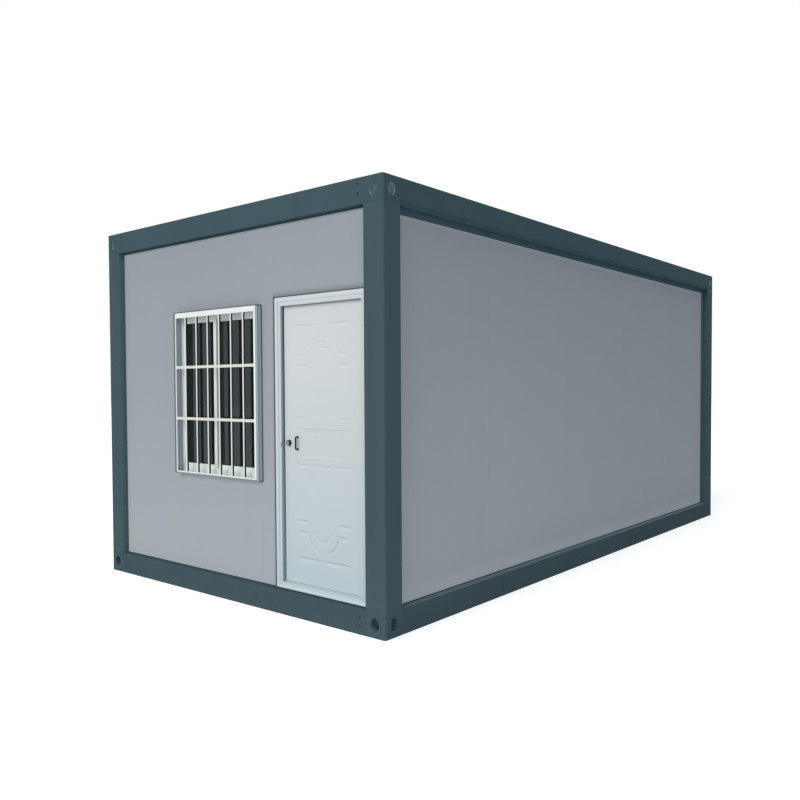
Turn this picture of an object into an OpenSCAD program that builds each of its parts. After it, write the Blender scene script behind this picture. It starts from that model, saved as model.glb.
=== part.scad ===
// Container tiny house: a flat-pack steel frame with sandwich panel walls, an end door and a barred end window.
// Millimetres. The origin is on the ground at the centre of the plan: +X towards the long side beside the
// door's hinges, -Y towards the door end, +Z up.

/* [Overall size] */
// Width of the frame across the door end
unit_w = 3000; // [2700:10:3400]
// Length of the frame along its closed sides
unit_l = 5850; // [5000:10:6100]
// Height from the ground to the top of the roof frame
unit_h = 2770; // [2650:10:3000]

/* [Steel frame] */
// Width of both outer faces of a corner post and its blocks
post_w = 158; // [150:1:170]
// Height of the base beams and base corner blocks
base_h = 160; // [140:1:180]
// Height of the roof beams and roof corner blocks
roof_h = 160; // [140:1:180]
// Sheet thickness of the posts and beams
steel_t = 3; // [2.5:0.5:4]
// Plate thickness of the corner blocks
block_t = 5; // [4:1:7]
// Radius of the frame's outer upright edges
edge_r = 14; // [8:1:18]
// Width of the roof beams' top flange
roof_flange_w = 60; // [45:1:80]
// Width of the base beams' bottom flange
base_flange_w = 60; // [45:1:80]

/* [Corner blocks] */
// Width of the oval hole in each outer face
slot_w = 66; // [44:1:70]
// Height of the oval hole in each outer face
slot_h = 80; // [70:1:90]
// Distance of the oval hole's centre from the block's outer edge
slot_edge = 84; // [78:1:88]
// Radius of the anchor hole in each base block's bottom plate
anchor_r = 9; // [7:0.5:12]
// Radius of the stacking pin hole in each roof block's top plate
stack_r = 13; // [10:0.5:16]
// Distance of the anchor and stacking holes from both outer faces
plate_hole_edge = 79; // [60:1:90]
// Radius of the splice holes in the end beams
splice_r = 7; // [5:0.5:8]
// Distance of the splice holes from the unit's outer corner
splice_edge = 205; // [190:1:240]
// Height between the two splice holes of a pair
splice_pitch = 60; // [50:1:70]
// Distance of the lower splice hole's centre from the beam's bottom edge
splice_low = 50; // [40:1:55]
// Distance of the lower splice hole's centre from a roof beam's bottom edge
roof_splice_low = 64; // [50:1:75]

/* [Walls] */
// Thickness of the wall panels
wall_t = 50; // [40:1:60]
// Distance of the end walls behind the frame's outer face
end_recess = 40; // [30:1:50]
// Distance of the side walls behind the frame's outer face
side_recess = 58; // [50:1:66]
// Widest wall panel
panel_max_w = 1150; // [950:10:1200]
// Depth of the tongue between two wall panels
tongue_d = 12; // [8:1:16]
// Open joint between two wall panels
panel_joint = 0.8; // [0.5:0.1:1.5]
// Fitting clearance of wall panels, door frame and window frame
fit = 0.5; // [0.3:0.1:1]
// Height of the head trim along the side walls
side_trim_h = 45; // [30:1:60]
// Height of the head trim along the end walls
end_trim_h = 13; // [10:1:30]
// Sheet thickness of the head trims
trim_t = 2; // [1.5:0.5:3]

/* [Floor and roof] */
// Thickness of the floor board
floor_t = 18; // [15:1:24]
// Height of the floor joists
joist_h = 100; // [80:5:120]
// Width of the floor joists
joist_w = 50; // [40:5:60]
// Widest spacing of the floor joists
joist_pitch = 620; // [500:10:700]
// Height of the roof joists
roof_joist_h = 70; // [50:5:80]
// Width of the roof joists
roof_joist_w = 40; // [30:5:50]
// Widest spacing of the roof joists
roof_joist_pitch = 1100; // [900:10:1300]
// Wall thickness of the joists
joist_t = 2.5; // [2:0.5:4]
// Thickness of the ceiling boards
ceiling_t = 10; // [8:1:16]
// Widest ceiling board
ceiling_board_w = 1200; // [900:10:1250]
// Bearing of the ceiling on the roof beams' bottom flange
ceiling_bearing = 25; // [15:1:30]
// Thickness of the roof sheet between its seams
roof_sheet_t = 4; // [3:0.5:6]
// Height of the roof sheet's standing seams
seam_h = 24; // [15:1:30]
// Width of the roof sheet's standing seams
seam_w = 22; // [16:1:30]
// Widest pan of the roof sheet, with a standing seam at each joint
seam_pitch = 500; // [400:10:600]

/* [Door] */
// Outer width of the door frame
door_w = 830; // [760:5:900]
// Outer height of the door frame
door_h = 1950; // [1900:5:2050]
// Face width of the jamb at the lock side
jamb_w = 57; // [50:1:65]
// Face width of the jamb at the hinges
hinge_jamb_w = 48; // [42:1:65]
// Face height of the head
head_w = 56; // [50:1:65]
// Face height of the sill
sill_w = 50; // [40:1:60]
// Depth of the door frame
door_frame_d = 75; // [72:1:85]
// Distance that the door frame stands proud of the end wall
door_frame_proud = 8; // [4:1:12]
// Thickness of the door leaf
leaf_t = 40; // [35:1:42]
// Distance of the leaf behind the door frame's face
leaf_setback = 22; // [20:1:26]
// Gap between leaf and frame at the lock side
latch_gap = 8; // [7:0.5:10]
// Gap between leaf and frame at the hinges, head and sill
leaf_gap = 5; // [5:0.5:7]
// Width of the stop that the leaf closes towards
stop_w = 14; // [12:1:18]
// Depth of the grooves pressed into the leaf
groove_d = 3; // [2:0.5:5]
// Width of the grooves pressed into the leaf
groove_w = 20; // [12:1:24]
// Half width of the pressed figures
figure_half_w = 235; // [200:1:240]
// Radius of the large arches
arch_r = 146; // [120:1:150]
// Radius of the small arches inside them
inner_arch_r = 72; // [60:1:80]
// Radius of the hinge barrels
barrel_r = 8; // [7:0.5:9]
// Length of a hinge barrel
barrel_l = 60; // [50:5:80]
// Radius of the hinge pins
pin_r = 4.5; // [4:0.5:5]
// Running clearance around the hinge pins
pin_clearance = 0.1; // [0.05:0.05:0.2]
// Height of the pull handle
handle_h = 90; // [80:5:130]
// Distance of the pull handle's bar in front of the leaf
handle_reach = 28; // [24:1:36]
// Radius of the lock's knob
knob_r = 18; // [16:0.5:24]
// Height of lock and handle above the ground
lock_z = 1145; // [1000:5:1200]
// Distance of the knob's axis from the leaf's lock edge
knob_backset = 44; // [38:1:75]
// Distance of the pull handle's bar from the leaf's lock edge
handle_backset = 124; // [105:1:160]

/* [Window] */
// Outer width of the window and its guard
window_w = 925; // [800:5:1000]
// Outer height of the window and its guard
window_h = 1196; // [1000:2:1250]
// Height of the window's bottom edge above the ground
window_z = 874; // [800:2:950]
// Distance of the window from the unit's corner at the door
window_s = 1138; // [1100:2:1300]
// Depth of the window frame
window_frame_d = 60; // [52:1:70]
// Distance of the window frame behind the wall's outer face
window_set_in = 6; // [2:1:8]
// Face width of the window frame's head and sill
window_frame_w = 45; // [28:1:50]
// Face width of the window frame's upright sides
window_side_w = 20; // [16:1:40]
// Face width of the sash bars
sash_w = 30; // [26:1:45]
// Thickness of a sash
sash_t = 22; // [18:1:24]
// Distance between the two sashes' outer faces
track_pitch = 26; // [26:1:28]
// Width by which the right sash is wider than the left one
sash_shift = 130; // [0:5:150]
// Thickness of the window panes
pane_t = 5; // [4:1:6]
// Distance that the guard stands proud of the wall
guard_proud = 55; // [40:1:70]
// Plate thickness of the guard
guard_t = 3; // [2:0.5:4]
// Face width of the guard's front edge at the sides and the foot
guard_edge_w = 18; // [14:1:40]
// Face width of the guard's front edge along the head
guard_head_w = 37; // [18:1:45]
// Width and depth of the guard's square upright bars
bar_w = 14; // [10:1:18]
// Number of upright bars
bar_count = 6; // [4:1:8]
// Height of the guard's flat cross bars
cross_bar_h = 20; // [14:1:26]
// Thickness of the guard's flat cross bars
cross_bar_t = 6; // [4:1:8]
// Height of the lowest cross bar's middle over the guard's foot
cross_bar_z = 412; // [380:1:420]
// Distance between the cross bars
cross_bar_pitch = 380; // [280:5:390]
// Number of cross bars
cross_bar_count = 2; // [1:1:3]

/* [Hidden] */
$fn = 48;

steel_colour = [0.21, 0.29, 0.33];
wall_colour = [0.60, 0.63, 0.66];
white_colour = [0.90, 0.92, 0.93];
board_colour = [0.55, 0.52, 0.47];
glass_colour = [0.20, 0.23, 0.26];
dark_metal_colour = [0.12, 0.13, 0.14];

half_w = unit_w / 2;
half_l = unit_l / 2;
front_y = -half_l;
wall_top = unit_h - roof_h;
wall_h = wall_top - base_h;
roof_steel_z = wall_top + steel_t;
roof_lip_h = 30;
roof_sheet_z = unit_h - roof_lip_h - roof_sheet_t;
deck_z = base_h - steel_t;
floor_z = deck_z + floor_t;
// Inner face of a wall, measured from the frame's outer face
side_seat = side_recess + wall_t;
end_seat = end_recess + wall_t;
overlap = 1;

// Door places, with s measured across the front from the unit's right-hand edge
door_s0 = post_w + fit;
door_s1 = door_s0 + door_w;
door_top = base_h + door_h;
door_face_y = front_y + end_recess - door_frame_proud;
leaf_face_y = door_face_y + leaf_setback;
leaf_back_y = leaf_face_y + leaf_t;
door_back_y = door_face_y + door_frame_d;
stop_y = leaf_back_y + leaf_gap;
leaf_s0 = door_s0 + hinge_jamb_w + leaf_gap;
leaf_s1 = door_s1 - jamb_w - latch_gap;
leaf_w = leaf_s1 - leaf_s0;
leaf_z0 = base_h + sill_w + leaf_gap;
leaf_z1 = door_top - head_w - leaf_gap;
leaf_mid_x = half_w - (leaf_s0 + leaf_s1) / 2;
barrel_gap = 1;
hinge_s = door_s0 + hinge_jamb_w + barrel_gap + barrel_r;
hinge_x = half_w - hinge_s;
hinge_y = leaf_face_y - barrel_gap - barrel_r;
hinge_zs = [leaf_z0 + 200, (leaf_z0 + leaf_z1) / 2, leaf_z1 - 200];

// Heights of the pressed figures: the lock rail goes with the lock, the panels with the leaf's two ends
top_margin = 133;
bottom_margin = 171;
shoulder_drop = 191;
shoulder_rise = 174;
line_pitch = 73;
rail_pitch = 50;
rail_over_lock = 91;
rail_under_lock = 94;
arch_drop = 28;
inner_arch_rise = 30;
upper_top_z = leaf_z1 - top_margin;
upper_shoulder_z = upper_top_z - shoulder_drop;
upper_second_z = upper_shoulder_z - line_pitch;
upper_bottom_z = lock_z + rail_over_lock;
upper_low_z = upper_bottom_z + line_pitch;
lower_top_z = lock_z - rail_under_lock;
lower_second_z = lower_top_z - rail_pitch;
lower_bottom_z = leaf_z0 + bottom_margin;
lower_shoulder_z = lower_bottom_z + shoulder_rise;
lower_low_z = lower_shoulder_z + line_pitch;
// Ends of the pressed lines, from the leaf's middle
top_line_x0 = 62;
bottom_line_x0 = 20;
panel_line_x0 = 138;
low_line_x0 = 165;
shoulder_line_x1 = 218;
rail_panel_x1 = 178;
rail_mark_x1 = 75;
rail_end_x0 = 112;

// Window places
window_x1 = half_w - window_s;
window_x0 = window_x1 - window_w;
window_z1 = window_z + window_h;
wall_face_y = front_y + end_recess;
window_face_y = wall_face_y + window_set_in;
guard_face_y = wall_face_y - guard_proud;
opening_x0 = window_x0 - fit;
opening_x1 = window_x1 + fit;
opening_z0 = window_z - fit;
opening_z1 = window_z1 + fit;
sash_z0 = window_z + window_frame_w;
sash_z1 = window_z1 - window_frame_w;
sash_x0 = window_x0 + window_side_w;
sash_x1 = window_x1 - window_side_w;
sash_meet_x = (sash_x0 + sash_x1) / 2 - sash_shift / 2;
outer_track_y = window_face_y + (window_frame_d - track_pitch - sash_t) / 2;
inner_track_y = outer_track_y + track_pitch;

// The four corners, as signs of X and Y
function corner_sign_x(right) = right ? 1 : -1;
function corner_sign_y(front) = front ? -1 : 1;

// Puts a corner piece, drawn with its outer corner at the origin and running inwards, at one of the four corners
module at_corner(right, front, z) {
    sx = corner_sign_x(right);
    sy = corner_sign_y(front);
    translate([sx * half_w, sy * half_l, z])
        mirror([right ? 1 : 0, 0, 0])
            mirror([0, front ? 0 : 1, 0])
                children();
}

// Square with one rounded corner at the origin
module rounded_square(inset) {
    difference() {
        translate([inset, inset]) square(post_w - 2 * inset);
        square(edge_r);
    }
    translate([edge_r, edge_r]) circle(edge_r - inset);
}

// Outline of a post: two outer faces, returned to the walls and stepped round their ends
module post_outline(inset) {
    difference() {
        polygon([
            [inset, inset],
            [post_w - inset, inset],
            [post_w - inset, end_recess - inset],
            [side_seat - inset, end_recess - inset],
            [side_seat - inset, end_seat - inset],
            [side_recess - inset, end_seat - inset],
            [side_recess - inset, post_w - inset],
            [inset, post_w - inset]
        ]);
        square(edge_r);
    }
    translate([edge_r, edge_r]) circle(edge_r - inset);
}

module post(right, front) {
    color(steel_colour)
        at_corner(right, front, base_h)
            linear_extrude(wall_h)
                difference() {
                    post_outline(0);
                    post_outline(steel_t);
                }
}

// Oval hole through a block's front plate, centred at the origin and running along Y
module oval_cut() {
    rise = (slot_h - slot_w) / 2;
    rotate([90, 0, 0])
        linear_extrude(4 * block_t, center = true) {
            translate([0, rise]) circle(slot_w / 2);
            translate([0, -rise]) circle(slot_w / 2);
            square([slot_w, 2 * rise], center = true);
        }
}

// Hollow corner block: plates all round, an oval hole in both outer faces, one round hole in a plate
module corner_block(height, hole_r, hole_on_top) {
    difference() {
        linear_extrude(height) rounded_square(0);
        translate([0, 0, block_t]) linear_extrude(height - 2 * block_t) rounded_square(block_t);
        translate([slot_edge, 0, height / 2]) oval_cut();
        translate([0, slot_edge, height / 2]) rotate([0, 0, 90]) oval_cut();
        translate([plate_hole_edge, plate_hole_edge, hole_on_top ? height - block_t - overlap : -overlap])
            cylinder(r = hole_r, h = block_t + 2 * overlap);
    }
}

module base_corner(right, front) {
    color(steel_colour) at_corner(right, front, 0) corner_block(base_h, anchor_r, false);
}

module roof_corner(right, front) {
    color(steel_colour) at_corner(right, front, wall_top) corner_block(roof_h, stack_r, true);
}

// Section of a base beam: x inwards from the outer face, y up
module base_beam_section(seat) {
    polygon([
        [0, 0],
        [base_flange_w, 0],
        [base_flange_w, steel_t],
        [steel_t, steel_t],
        [steel_t, base_h - steel_t],
        [seat, base_h - steel_t],
        [seat, base_h],
        [0, base_h]
    ]);
}

// Section of a roof beam, with a lip turned down along the top flange
module roof_beam_section(seat) {
    polygon([
        [0, 0],
        [seat, 0],
        [seat, steel_t],
        [steel_t, steel_t],
        [steel_t, roof_h - steel_t],
        [roof_flange_w - steel_t, roof_h - steel_t],
        [roof_flange_w - steel_t, roof_h - roof_lip_h],
        [roof_flange_w, roof_h - roof_lip_h],
        [roof_flange_w, roof_h],
        [0, roof_h]
    ]);
}

// Runs a section along the front (-Y) beam line, centred on X, between the corner blocks
module along_end(front, z) {
    mirror([0, front ? 0 : 1, 0])
        translate([-half_w + post_w, front_y, z])
            rotate([90, 0, 90])
                linear_extrude(unit_w - 2 * post_w)
                    children();
}

// Runs a section along a side beam line, centred on Y, between the corner blocks
module along_side(right, z) {
    mirror([right ? 1 : 0, 0, 0])
        translate([-half_w, half_l - post_w, z])
            rotate([90, 0, 0])
                linear_extrude(unit_l - 2 * post_w)
                    children();
}

// The pairs of splice holes near both ends of an end beam, with the lower hole of each at height z
module splice_holes(front, z) {
    mirror([0, front ? 0 : 1, 0])
        for (side = [-1, 1], level = [0, splice_pitch])
            translate([side * (half_w - splice_edge), front_y - overlap, z + level])
                rotate([-90, 0, 0])
                    cylinder(r = splice_r, h = steel_t + 2 * overlap);
}

module base_beam_end(front) {
    color(steel_colour) difference() {
        along_end(front, 0) base_beam_section(end_seat);
        splice_holes(front, splice_low);
    }
}

module roof_beam_end(front) {
    color(steel_colour) difference() {
        along_end(front, wall_top) roof_beam_section(end_seat);
        splice_holes(front, wall_top + roof_splice_low);
    }
}

module base_beam_side(right) {
    color(steel_colour) along_side(right, 0) base_beam_section(side_seat);
}

module roof_beam_side(right) {
    color(steel_colour) along_side(right, wall_top) roof_beam_section(side_seat);
}

// Rectangular steel tubes across the unit, evenly spaced between the end beams
module joists(height, width, pitch, z, length) {
    span = unit_l - 2 * post_w - width - 2 * fit;
    count = ceil(span / pitch);
    for (i = [0 : count])
        translate([-length / 2, -span / 2 + i * span / count - width / 2, z])
            rotate([90, 0, 90])
                linear_extrude(length)
                    difference() {
                        square([width, height]);
                        translate([joist_t, joist_t]) square([width - 2 * joist_t, height - 2 * joist_t]);
                    }
}

module floor_joists() {
    color(steel_colour)
        joists(joist_h, joist_w, joist_pitch, deck_z - joist_h, unit_w - 2 * steel_t);
}

module roof_joists() {
    color(steel_colour)
        joists(roof_joist_h, roof_joist_w, roof_joist_pitch, roof_sheet_z - roof_joist_h, unit_w - 2 * steel_t);
}

// Takes a square notch out of all four corners of what it is given, up to the height z
module notch_corners(z) {
    difference() {
        children();
        for (right = [true, false], front = [true, false])
            at_corner(right, front, -overlap)
                cube([post_w + fit, post_w + fit, z + overlap]);
    }
}

module floor_board() {
    color(board_colour)
        notch_corners(base_h)
            translate([-half_w + side_seat + fit, front_y + end_seat + fit, deck_z])
                cube([unit_w - 2 * (side_seat + fit), unit_l - 2 * (end_seat + fit), floor_t]);
}

// Half of the length that the boards between the four corner blocks cover
boards_half = half_l - post_w - fit - panel_joint;
function board_count(widest) = ceil(2 * boards_half / widest);
function board_pitch(widest) = (2 * boards_half + panel_joint) / board_count(widest);

// A flat sheet in boards across the unit, with a shorter board between the blocks at each end
module boards(inset_x, inset_y, thickness, z, widest) {
    short_w = unit_w - 2 * (post_w + fit);
    pitch = board_pitch(widest);
    for (i = [0 : board_count(widest) - 1])
        translate([-half_w + inset_x, -boards_half + i * pitch, z])
            cube([unit_w - 2 * inset_x, pitch - panel_joint, thickness]);
    for (side = [0, 1])
        mirror([0, side, 0])
            translate([-short_w / 2, front_y + inset_y, z])
                cube([short_w, half_l - inset_y - boards_half - panel_joint, thickness]);
}

module ceiling() {
    color(white_colour)
        boards(side_seat - ceiling_bearing, end_seat - ceiling_bearing, ceiling_t, roof_steel_z, ceiling_board_w);
}

// The roof sheet lies under the frame's top flanges, in pans with an upstand for a seam at each joint
module roof_sheet() {
    seam_l = unit_w - 2 * (roof_flange_w + seam_w);
    pitch = board_pitch(seam_pitch);
    color(wall_colour) {
        boards(steel_t + fit, steel_t + fit, roof_sheet_t, roof_sheet_z, seam_pitch);
        for (i = [1 : board_count(seam_pitch) - 1])
            translate([-seam_l / 2, -boards_half + i * pitch, roof_sheet_z + roof_sheet_t - overlap])
                cube([seam_l, seam_w, seam_h + overlap]);
    }
}

// Plan outline of one wall panel: x through the wall, y along it, a groove at its start, a tongue at its end
module panel_section(width, groove, tongue) {
    third = wall_t / 3;
    difference() {
        square([wall_t, width]);
        if (groove)
            translate([third - fit, -overlap]) square([third + 2 * fit, tongue_d + overlap]);
    }
    if (tongue)
        translate([third, width - overlap]) square([third, tongue_d + overlap - fit]);
}

// A wall of tongued panels standing on a base beam, from the origin along +Y
module panel_wall(length) {
    count = ceil(length / panel_max_w);
    width = (length - (count - 1) * panel_joint) / count;
    for (i = [0 : count - 1])
        translate([0, i * (width + panel_joint), base_h])
            linear_extrude(wall_h)
                panel_section(width, i > 0, i < count - 1);
}

module side_wall(right) {
    color(wall_colour)
        mirror([right ? 1 : 0, 0, 0])
            translate([-half_w + side_recess, front_y + end_seat + fit, 0])
                panel_wall(unit_l - 2 * (end_seat + fit));
}

module left_wall() {
    side_wall(false);
}

module right_wall() {
    side_wall(true);
}

module rear_wall() {
    color(wall_colour)
        translate([-half_w + side_seat + fit, half_l - end_recess, 0])
            rotate([0, 0, -90])
                panel_wall(unit_w - 2 * (side_seat + fit));
}

// A plain slab of the front wall between two places across the front and two heights
module front_slab(x0, x1, z0, z1) {
    color(wall_colour)
        translate([x0, wall_face_y, z0]) cube([x1 - x0, wall_t, z1 - z0]);
}

module front_wall_left() {
    front_slab(-half_w + side_seat + fit, opening_x0, base_h, wall_top);
}

module front_wall_middle() {
    front_slab(opening_x1, half_w - door_s1 - fit, base_h, wall_top);
}

module front_wall_at_window() {
    front_slab(opening_x0, opening_x1, base_h, opening_z0);
    front_slab(opening_x0, opening_x1, opening_z1, wall_top);
}

module front_wall_over_door() {
    front_slab(half_w - door_s1 - fit, half_w - side_seat - fit, door_top + fit, wall_top);
}

// Angle under a roof beam, standing against the wall's outer face
module trim_section(recess, drop) {
    flange = recess / 2;
    polygon([
        [recess - flange, 0],
        [recess, 0],
        [recess, -drop],
        [recess - trim_t, -drop],
        [recess - trim_t, -trim_t],
        [recess - flange, -trim_t]
    ]);
}

module wall_head_trims() {
    color(steel_colour) {
        along_side(true, wall_top) trim_section(side_recess, side_trim_h);
        along_side(false, wall_top) trim_section(side_recess, side_trim_h);
        along_end(true, wall_top) trim_section(end_recess, end_trim_h);
        along_end(false, wall_top) trim_section(end_recess, end_trim_h);
    }
}

// Frame of the door: jambs, head and sill in one, stepped inside for the stop, with a leg behind the post's lip
module door_frame() {
    inner_x0 = half_w - door_s1 + jamb_w;
    inner_x1 = half_w - door_s0 - hinge_jamb_w;
    inner_z0 = base_h + sill_w;
    inner_z1 = door_top - head_w;
    color(white_colour) {
        difference() {
            translate([half_w - door_s1, door_face_y, base_h]) cube([door_w, door_frame_d, door_h]);
            translate([inner_x0, door_face_y - overlap, inner_z0])
                cube([inner_x1 - inner_x0, stop_y - door_face_y + overlap, inner_z1 - inner_z0]);
            translate([inner_x0 + stop_w, door_face_y, inner_z0])
                cube([inner_x1 - inner_x0 - 2 * stop_w, door_frame_d + overlap, inner_z1 - inner_z0 - stop_w]);
            translate([half_w - door_s1 - overlap, front_y + end_seat, base_h - overlap])
                cube([door_w + 2 * overlap, door_frame_d, floor_z - base_h + overlap]);
        }
        translate([half_w - door_s0 - overlap, wall_face_y, base_h])
            cube([door_s0 - side_seat - fit + overlap, wall_t, door_h]);
    }
}

// A straight groove in the leaf's face, from x0 to x1 at height z, with x measured from the leaf's middle
module groove(x0, x1, z) {
    translate([leaf_mid_x + x0, leaf_face_y - overlap, z - groove_w / 2])
        cube([x1 - x0, groove_d + overlap, groove_w]);
}

// The two mirrored grooves from x0 to x1 on both sides of the leaf's middle
module groove_pair(x0, x1, z) {
    groove(x0, x1, z);
    groove(-x1, -x0, z);
}

// A groove in an arch: the part of a ring above the height z, or below it when it is turned over
module groove_arch(radius, centre_z, z, upwards) {
    outer_r = radius + groove_w / 2;
    depth = groove_d + overlap;
    translate([leaf_mid_x, leaf_face_y + groove_d, 0])
        intersection() {
            translate([0, 0, centre_z])
                rotate([90, 0, 0])
                    difference() {
                        cylinder(r = outer_r, h = depth);
                        translate([0, 0, -overlap])
                            cylinder(r = radius - groove_w / 2, h = depth + 2 * overlap);
                    }
            translate([-outer_r - overlap, -depth - overlap, upwards ? z : z - 2 * outer_r])
                cube([2 * (outer_r + overlap), depth + 2 * overlap, 2 * outer_r]);
        }
}

// The leaf, with a figure of grooves in its upper and lower panel, and a shallow panel beside the lock
module door_leaf() {
    arch_edge = arch_r - groove_w / 2;
    color(white_colour)
        difference() {
            translate([half_w - leaf_s1, leaf_face_y, leaf_z0]) cube([leaf_w, leaf_t, leaf_z1 - leaf_z0]);
            translate([leaf_mid_x - rail_panel_x1, leaf_face_y - overlap, lower_top_z])
                cube([2 * rail_panel_x1, groove_d + overlap, upper_bottom_z - lower_top_z]);
            groove_pair(top_line_x0, figure_half_w, upper_top_z);
            groove_pair(arch_edge, shoulder_line_x1, upper_shoulder_z);
            groove_arch(arch_r, upper_shoulder_z - arch_drop, upper_shoulder_z - groove_w / 2, true);
            groove_arch(inner_arch_r, upper_shoulder_z - arch_drop, upper_shoulder_z + inner_arch_rise, true);
            groove_pair(panel_line_x0, figure_half_w, upper_second_z);
            groove_pair(low_line_x0, shoulder_line_x1, upper_low_z);
            groove(-figure_half_w, figure_half_w, upper_bottom_z);
            groove(-rail_mark_x1, rail_mark_x1, lower_second_z);
            groove_pair(rail_end_x0, figure_half_w, lower_second_z);
            groove_pair(panel_line_x0, figure_half_w, lower_low_z);
            groove_pair(arch_edge, shoulder_line_x1, lower_shoulder_z);
            groove_arch(arch_r, lower_shoulder_z + arch_drop, lower_shoulder_z + groove_w / 2, false);
            groove_arch(inner_arch_r, lower_shoulder_z + arch_drop, lower_shoulder_z - inner_arch_rise, false);
            groove_pair(bottom_line_x0, figure_half_w, lower_bottom_z);
        }
}

// Bow handle: a flat bar held off the leaf by two feet
module door_pull_handle() {
    bar = 10;
    foot = 10;
    color(dark_metal_colour)
        translate([half_w - leaf_s1 + handle_backset - bar / 2, leaf_face_y, lock_z - handle_h / 2]) {
            translate([0, -handle_reach, 0]) cube([bar, bar, handle_h]);
            translate([0, -handle_reach + bar - overlap, 0]) cube([bar, handle_reach - bar + overlap, foot]);
            translate([0, -handle_reach + bar - overlap, handle_h - foot])
                cube([bar, handle_reach - bar + overlap, foot]);
        }
}

// Round rose and knob of the lock, turned about the Y axis
module door_lock_knob() {
    rose_t = 4;
    rose_edge = 2;
    neck_r = 14;
    neck_l = 7;
    knob_edge = 2;
    knob_l = 11;
    color(dark_metal_colour)
        translate([half_w - leaf_s1 + knob_backset, leaf_face_y, lock_z])
            rotate([90, 0, 0])
                rotate_extrude()
                    polygon([
                        [0, 0],
                        [knob_r + rose_edge, 0],
                        [knob_r + rose_edge, rose_t / 2],
                        [knob_r, rose_t],
                        [neck_r, rose_t],
                        [neck_r, neck_l],
                        [knob_r, neck_l + knob_edge],
                        [knob_r, neck_l + knob_l - knob_edge],
                        [knob_r - knob_edge, neck_l + knob_l],
                        [0, neck_l + knob_l]
                    ]);
}

// Fixed half of each hinge: a pin, its collar, and a strap screwed to the jamb
module door_hinge_pins() {
    color(white_colour)
        for (z = hinge_zs) translate([hinge_x, hinge_y, z]) {
            cylinder(r = pin_r, h = barrel_l);
            translate([0, 0, -barrel_l]) cylinder(r = barrel_r, h = barrel_l);
            translate([0, -barrel_r / 2, -barrel_l]) cube([barrel_r + barrel_gap, barrel_r, barrel_l]);
        }
}

// Moving half of each hinge: a barrel over the pin, and a strap screwed to the leaf
module door_hinge_barrels() {
    bore_r = pin_r + pin_clearance;
    color(white_colour)
        for (z = hinge_zs) translate([hinge_x, hinge_y, z + barrel_gap]) {
            difference() {
                union() {
                    cylinder(r = barrel_r, h = barrel_l);
                    translate([-barrel_r, 0, 0]) cube([barrel_r, barrel_r + barrel_gap, barrel_l]);
                }
                translate([0, 0, -overlap]) cylinder(r = bore_r, h = barrel_l + 2 * overlap);
            }
        }
}

// Fixed frame of the window, with a ledge behind each sash
module window_frame() {
    color(white_colour)
        difference() {
            translate([window_x0, window_face_y, window_z]) cube([window_w, window_frame_d, window_h]);
            translate([sash_x0, window_face_y - overlap, sash_z0])
                cube([sash_x1 - sash_x0, window_frame_d + 2 * overlap, sash_z1 - sash_z0]);
        }
}

// One sliding sash, open for its pane
module sash(x0, x1, y) {
    color(white_colour)
        difference() {
            translate([x0, y, sash_z0]) cube([x1 - x0, sash_t, sash_z1 - sash_z0]);
            translate([x0 + sash_w, y - overlap, sash_z0 + sash_w])
                cube([x1 - x0 - 2 * sash_w, sash_t + 2 * overlap, sash_z1 - sash_z0 - 2 * sash_w]);
        }
}

module window_sash_left() {
    sash(sash_x0, sash_meet_x + sash_w / 2, outer_track_y);
}

module window_sash_right() {
    sash(sash_meet_x - sash_w / 2, sash_x1, inner_track_y);
}

// The pane of a sash, filling its opening
module pane(x0, x1, y) {
    translate([x0 + sash_w, y + (sash_t - pane_t) / 2, sash_z0 + sash_w])
        cube([x1 - x0 - 2 * sash_w, pane_t, sash_z1 - sash_z0 - 2 * sash_w]);
}

module window_panes() {
    color(glass_colour) {
        pane(sash_x0, sash_meet_x + sash_w / 2, outer_track_y);
        pane(sash_meet_x - sash_w / 2, sash_x1, inner_track_y);
    }
}

// Guard of the window: side plates, a front edge, upright bars and cross bars, welded together
module window_guard() {
    depth = window_face_y - guard_face_y;
    bar_y = guard_face_y + guard_t / 2;
    pitch = window_w / (bar_count + 1);
    lowest_cross_z = window_z + cross_bar_z - cross_bar_h / 2;
    color(white_colour) {
        difference() {
            translate([window_x0, guard_face_y, window_z]) cube([window_w, depth, window_h]);
            translate([window_x0 + guard_t, guard_face_y + guard_t, window_z + guard_t])
                cube([window_w - 2 * guard_t, depth, window_h - 2 * guard_t]);
            translate([window_x0 + guard_edge_w, guard_face_y - overlap, window_z + guard_edge_w])
                cube([window_w - 2 * guard_edge_w, depth, window_h - guard_edge_w - guard_head_w]);
        }
        for (i = [1 : bar_count])
            translate([window_x0 + i * pitch - bar_w / 2, bar_y, window_z + guard_t / 2])
                cube([bar_w, bar_w, window_h - guard_t]);
        for (i = [0 : cross_bar_count - 1])
            translate([window_x0 + guard_t / 2, guard_face_y, lowest_cross_z + i * cross_bar_pitch])
                cube([window_w - guard_t, cross_bar_t, cross_bar_h]);
    }
}

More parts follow.
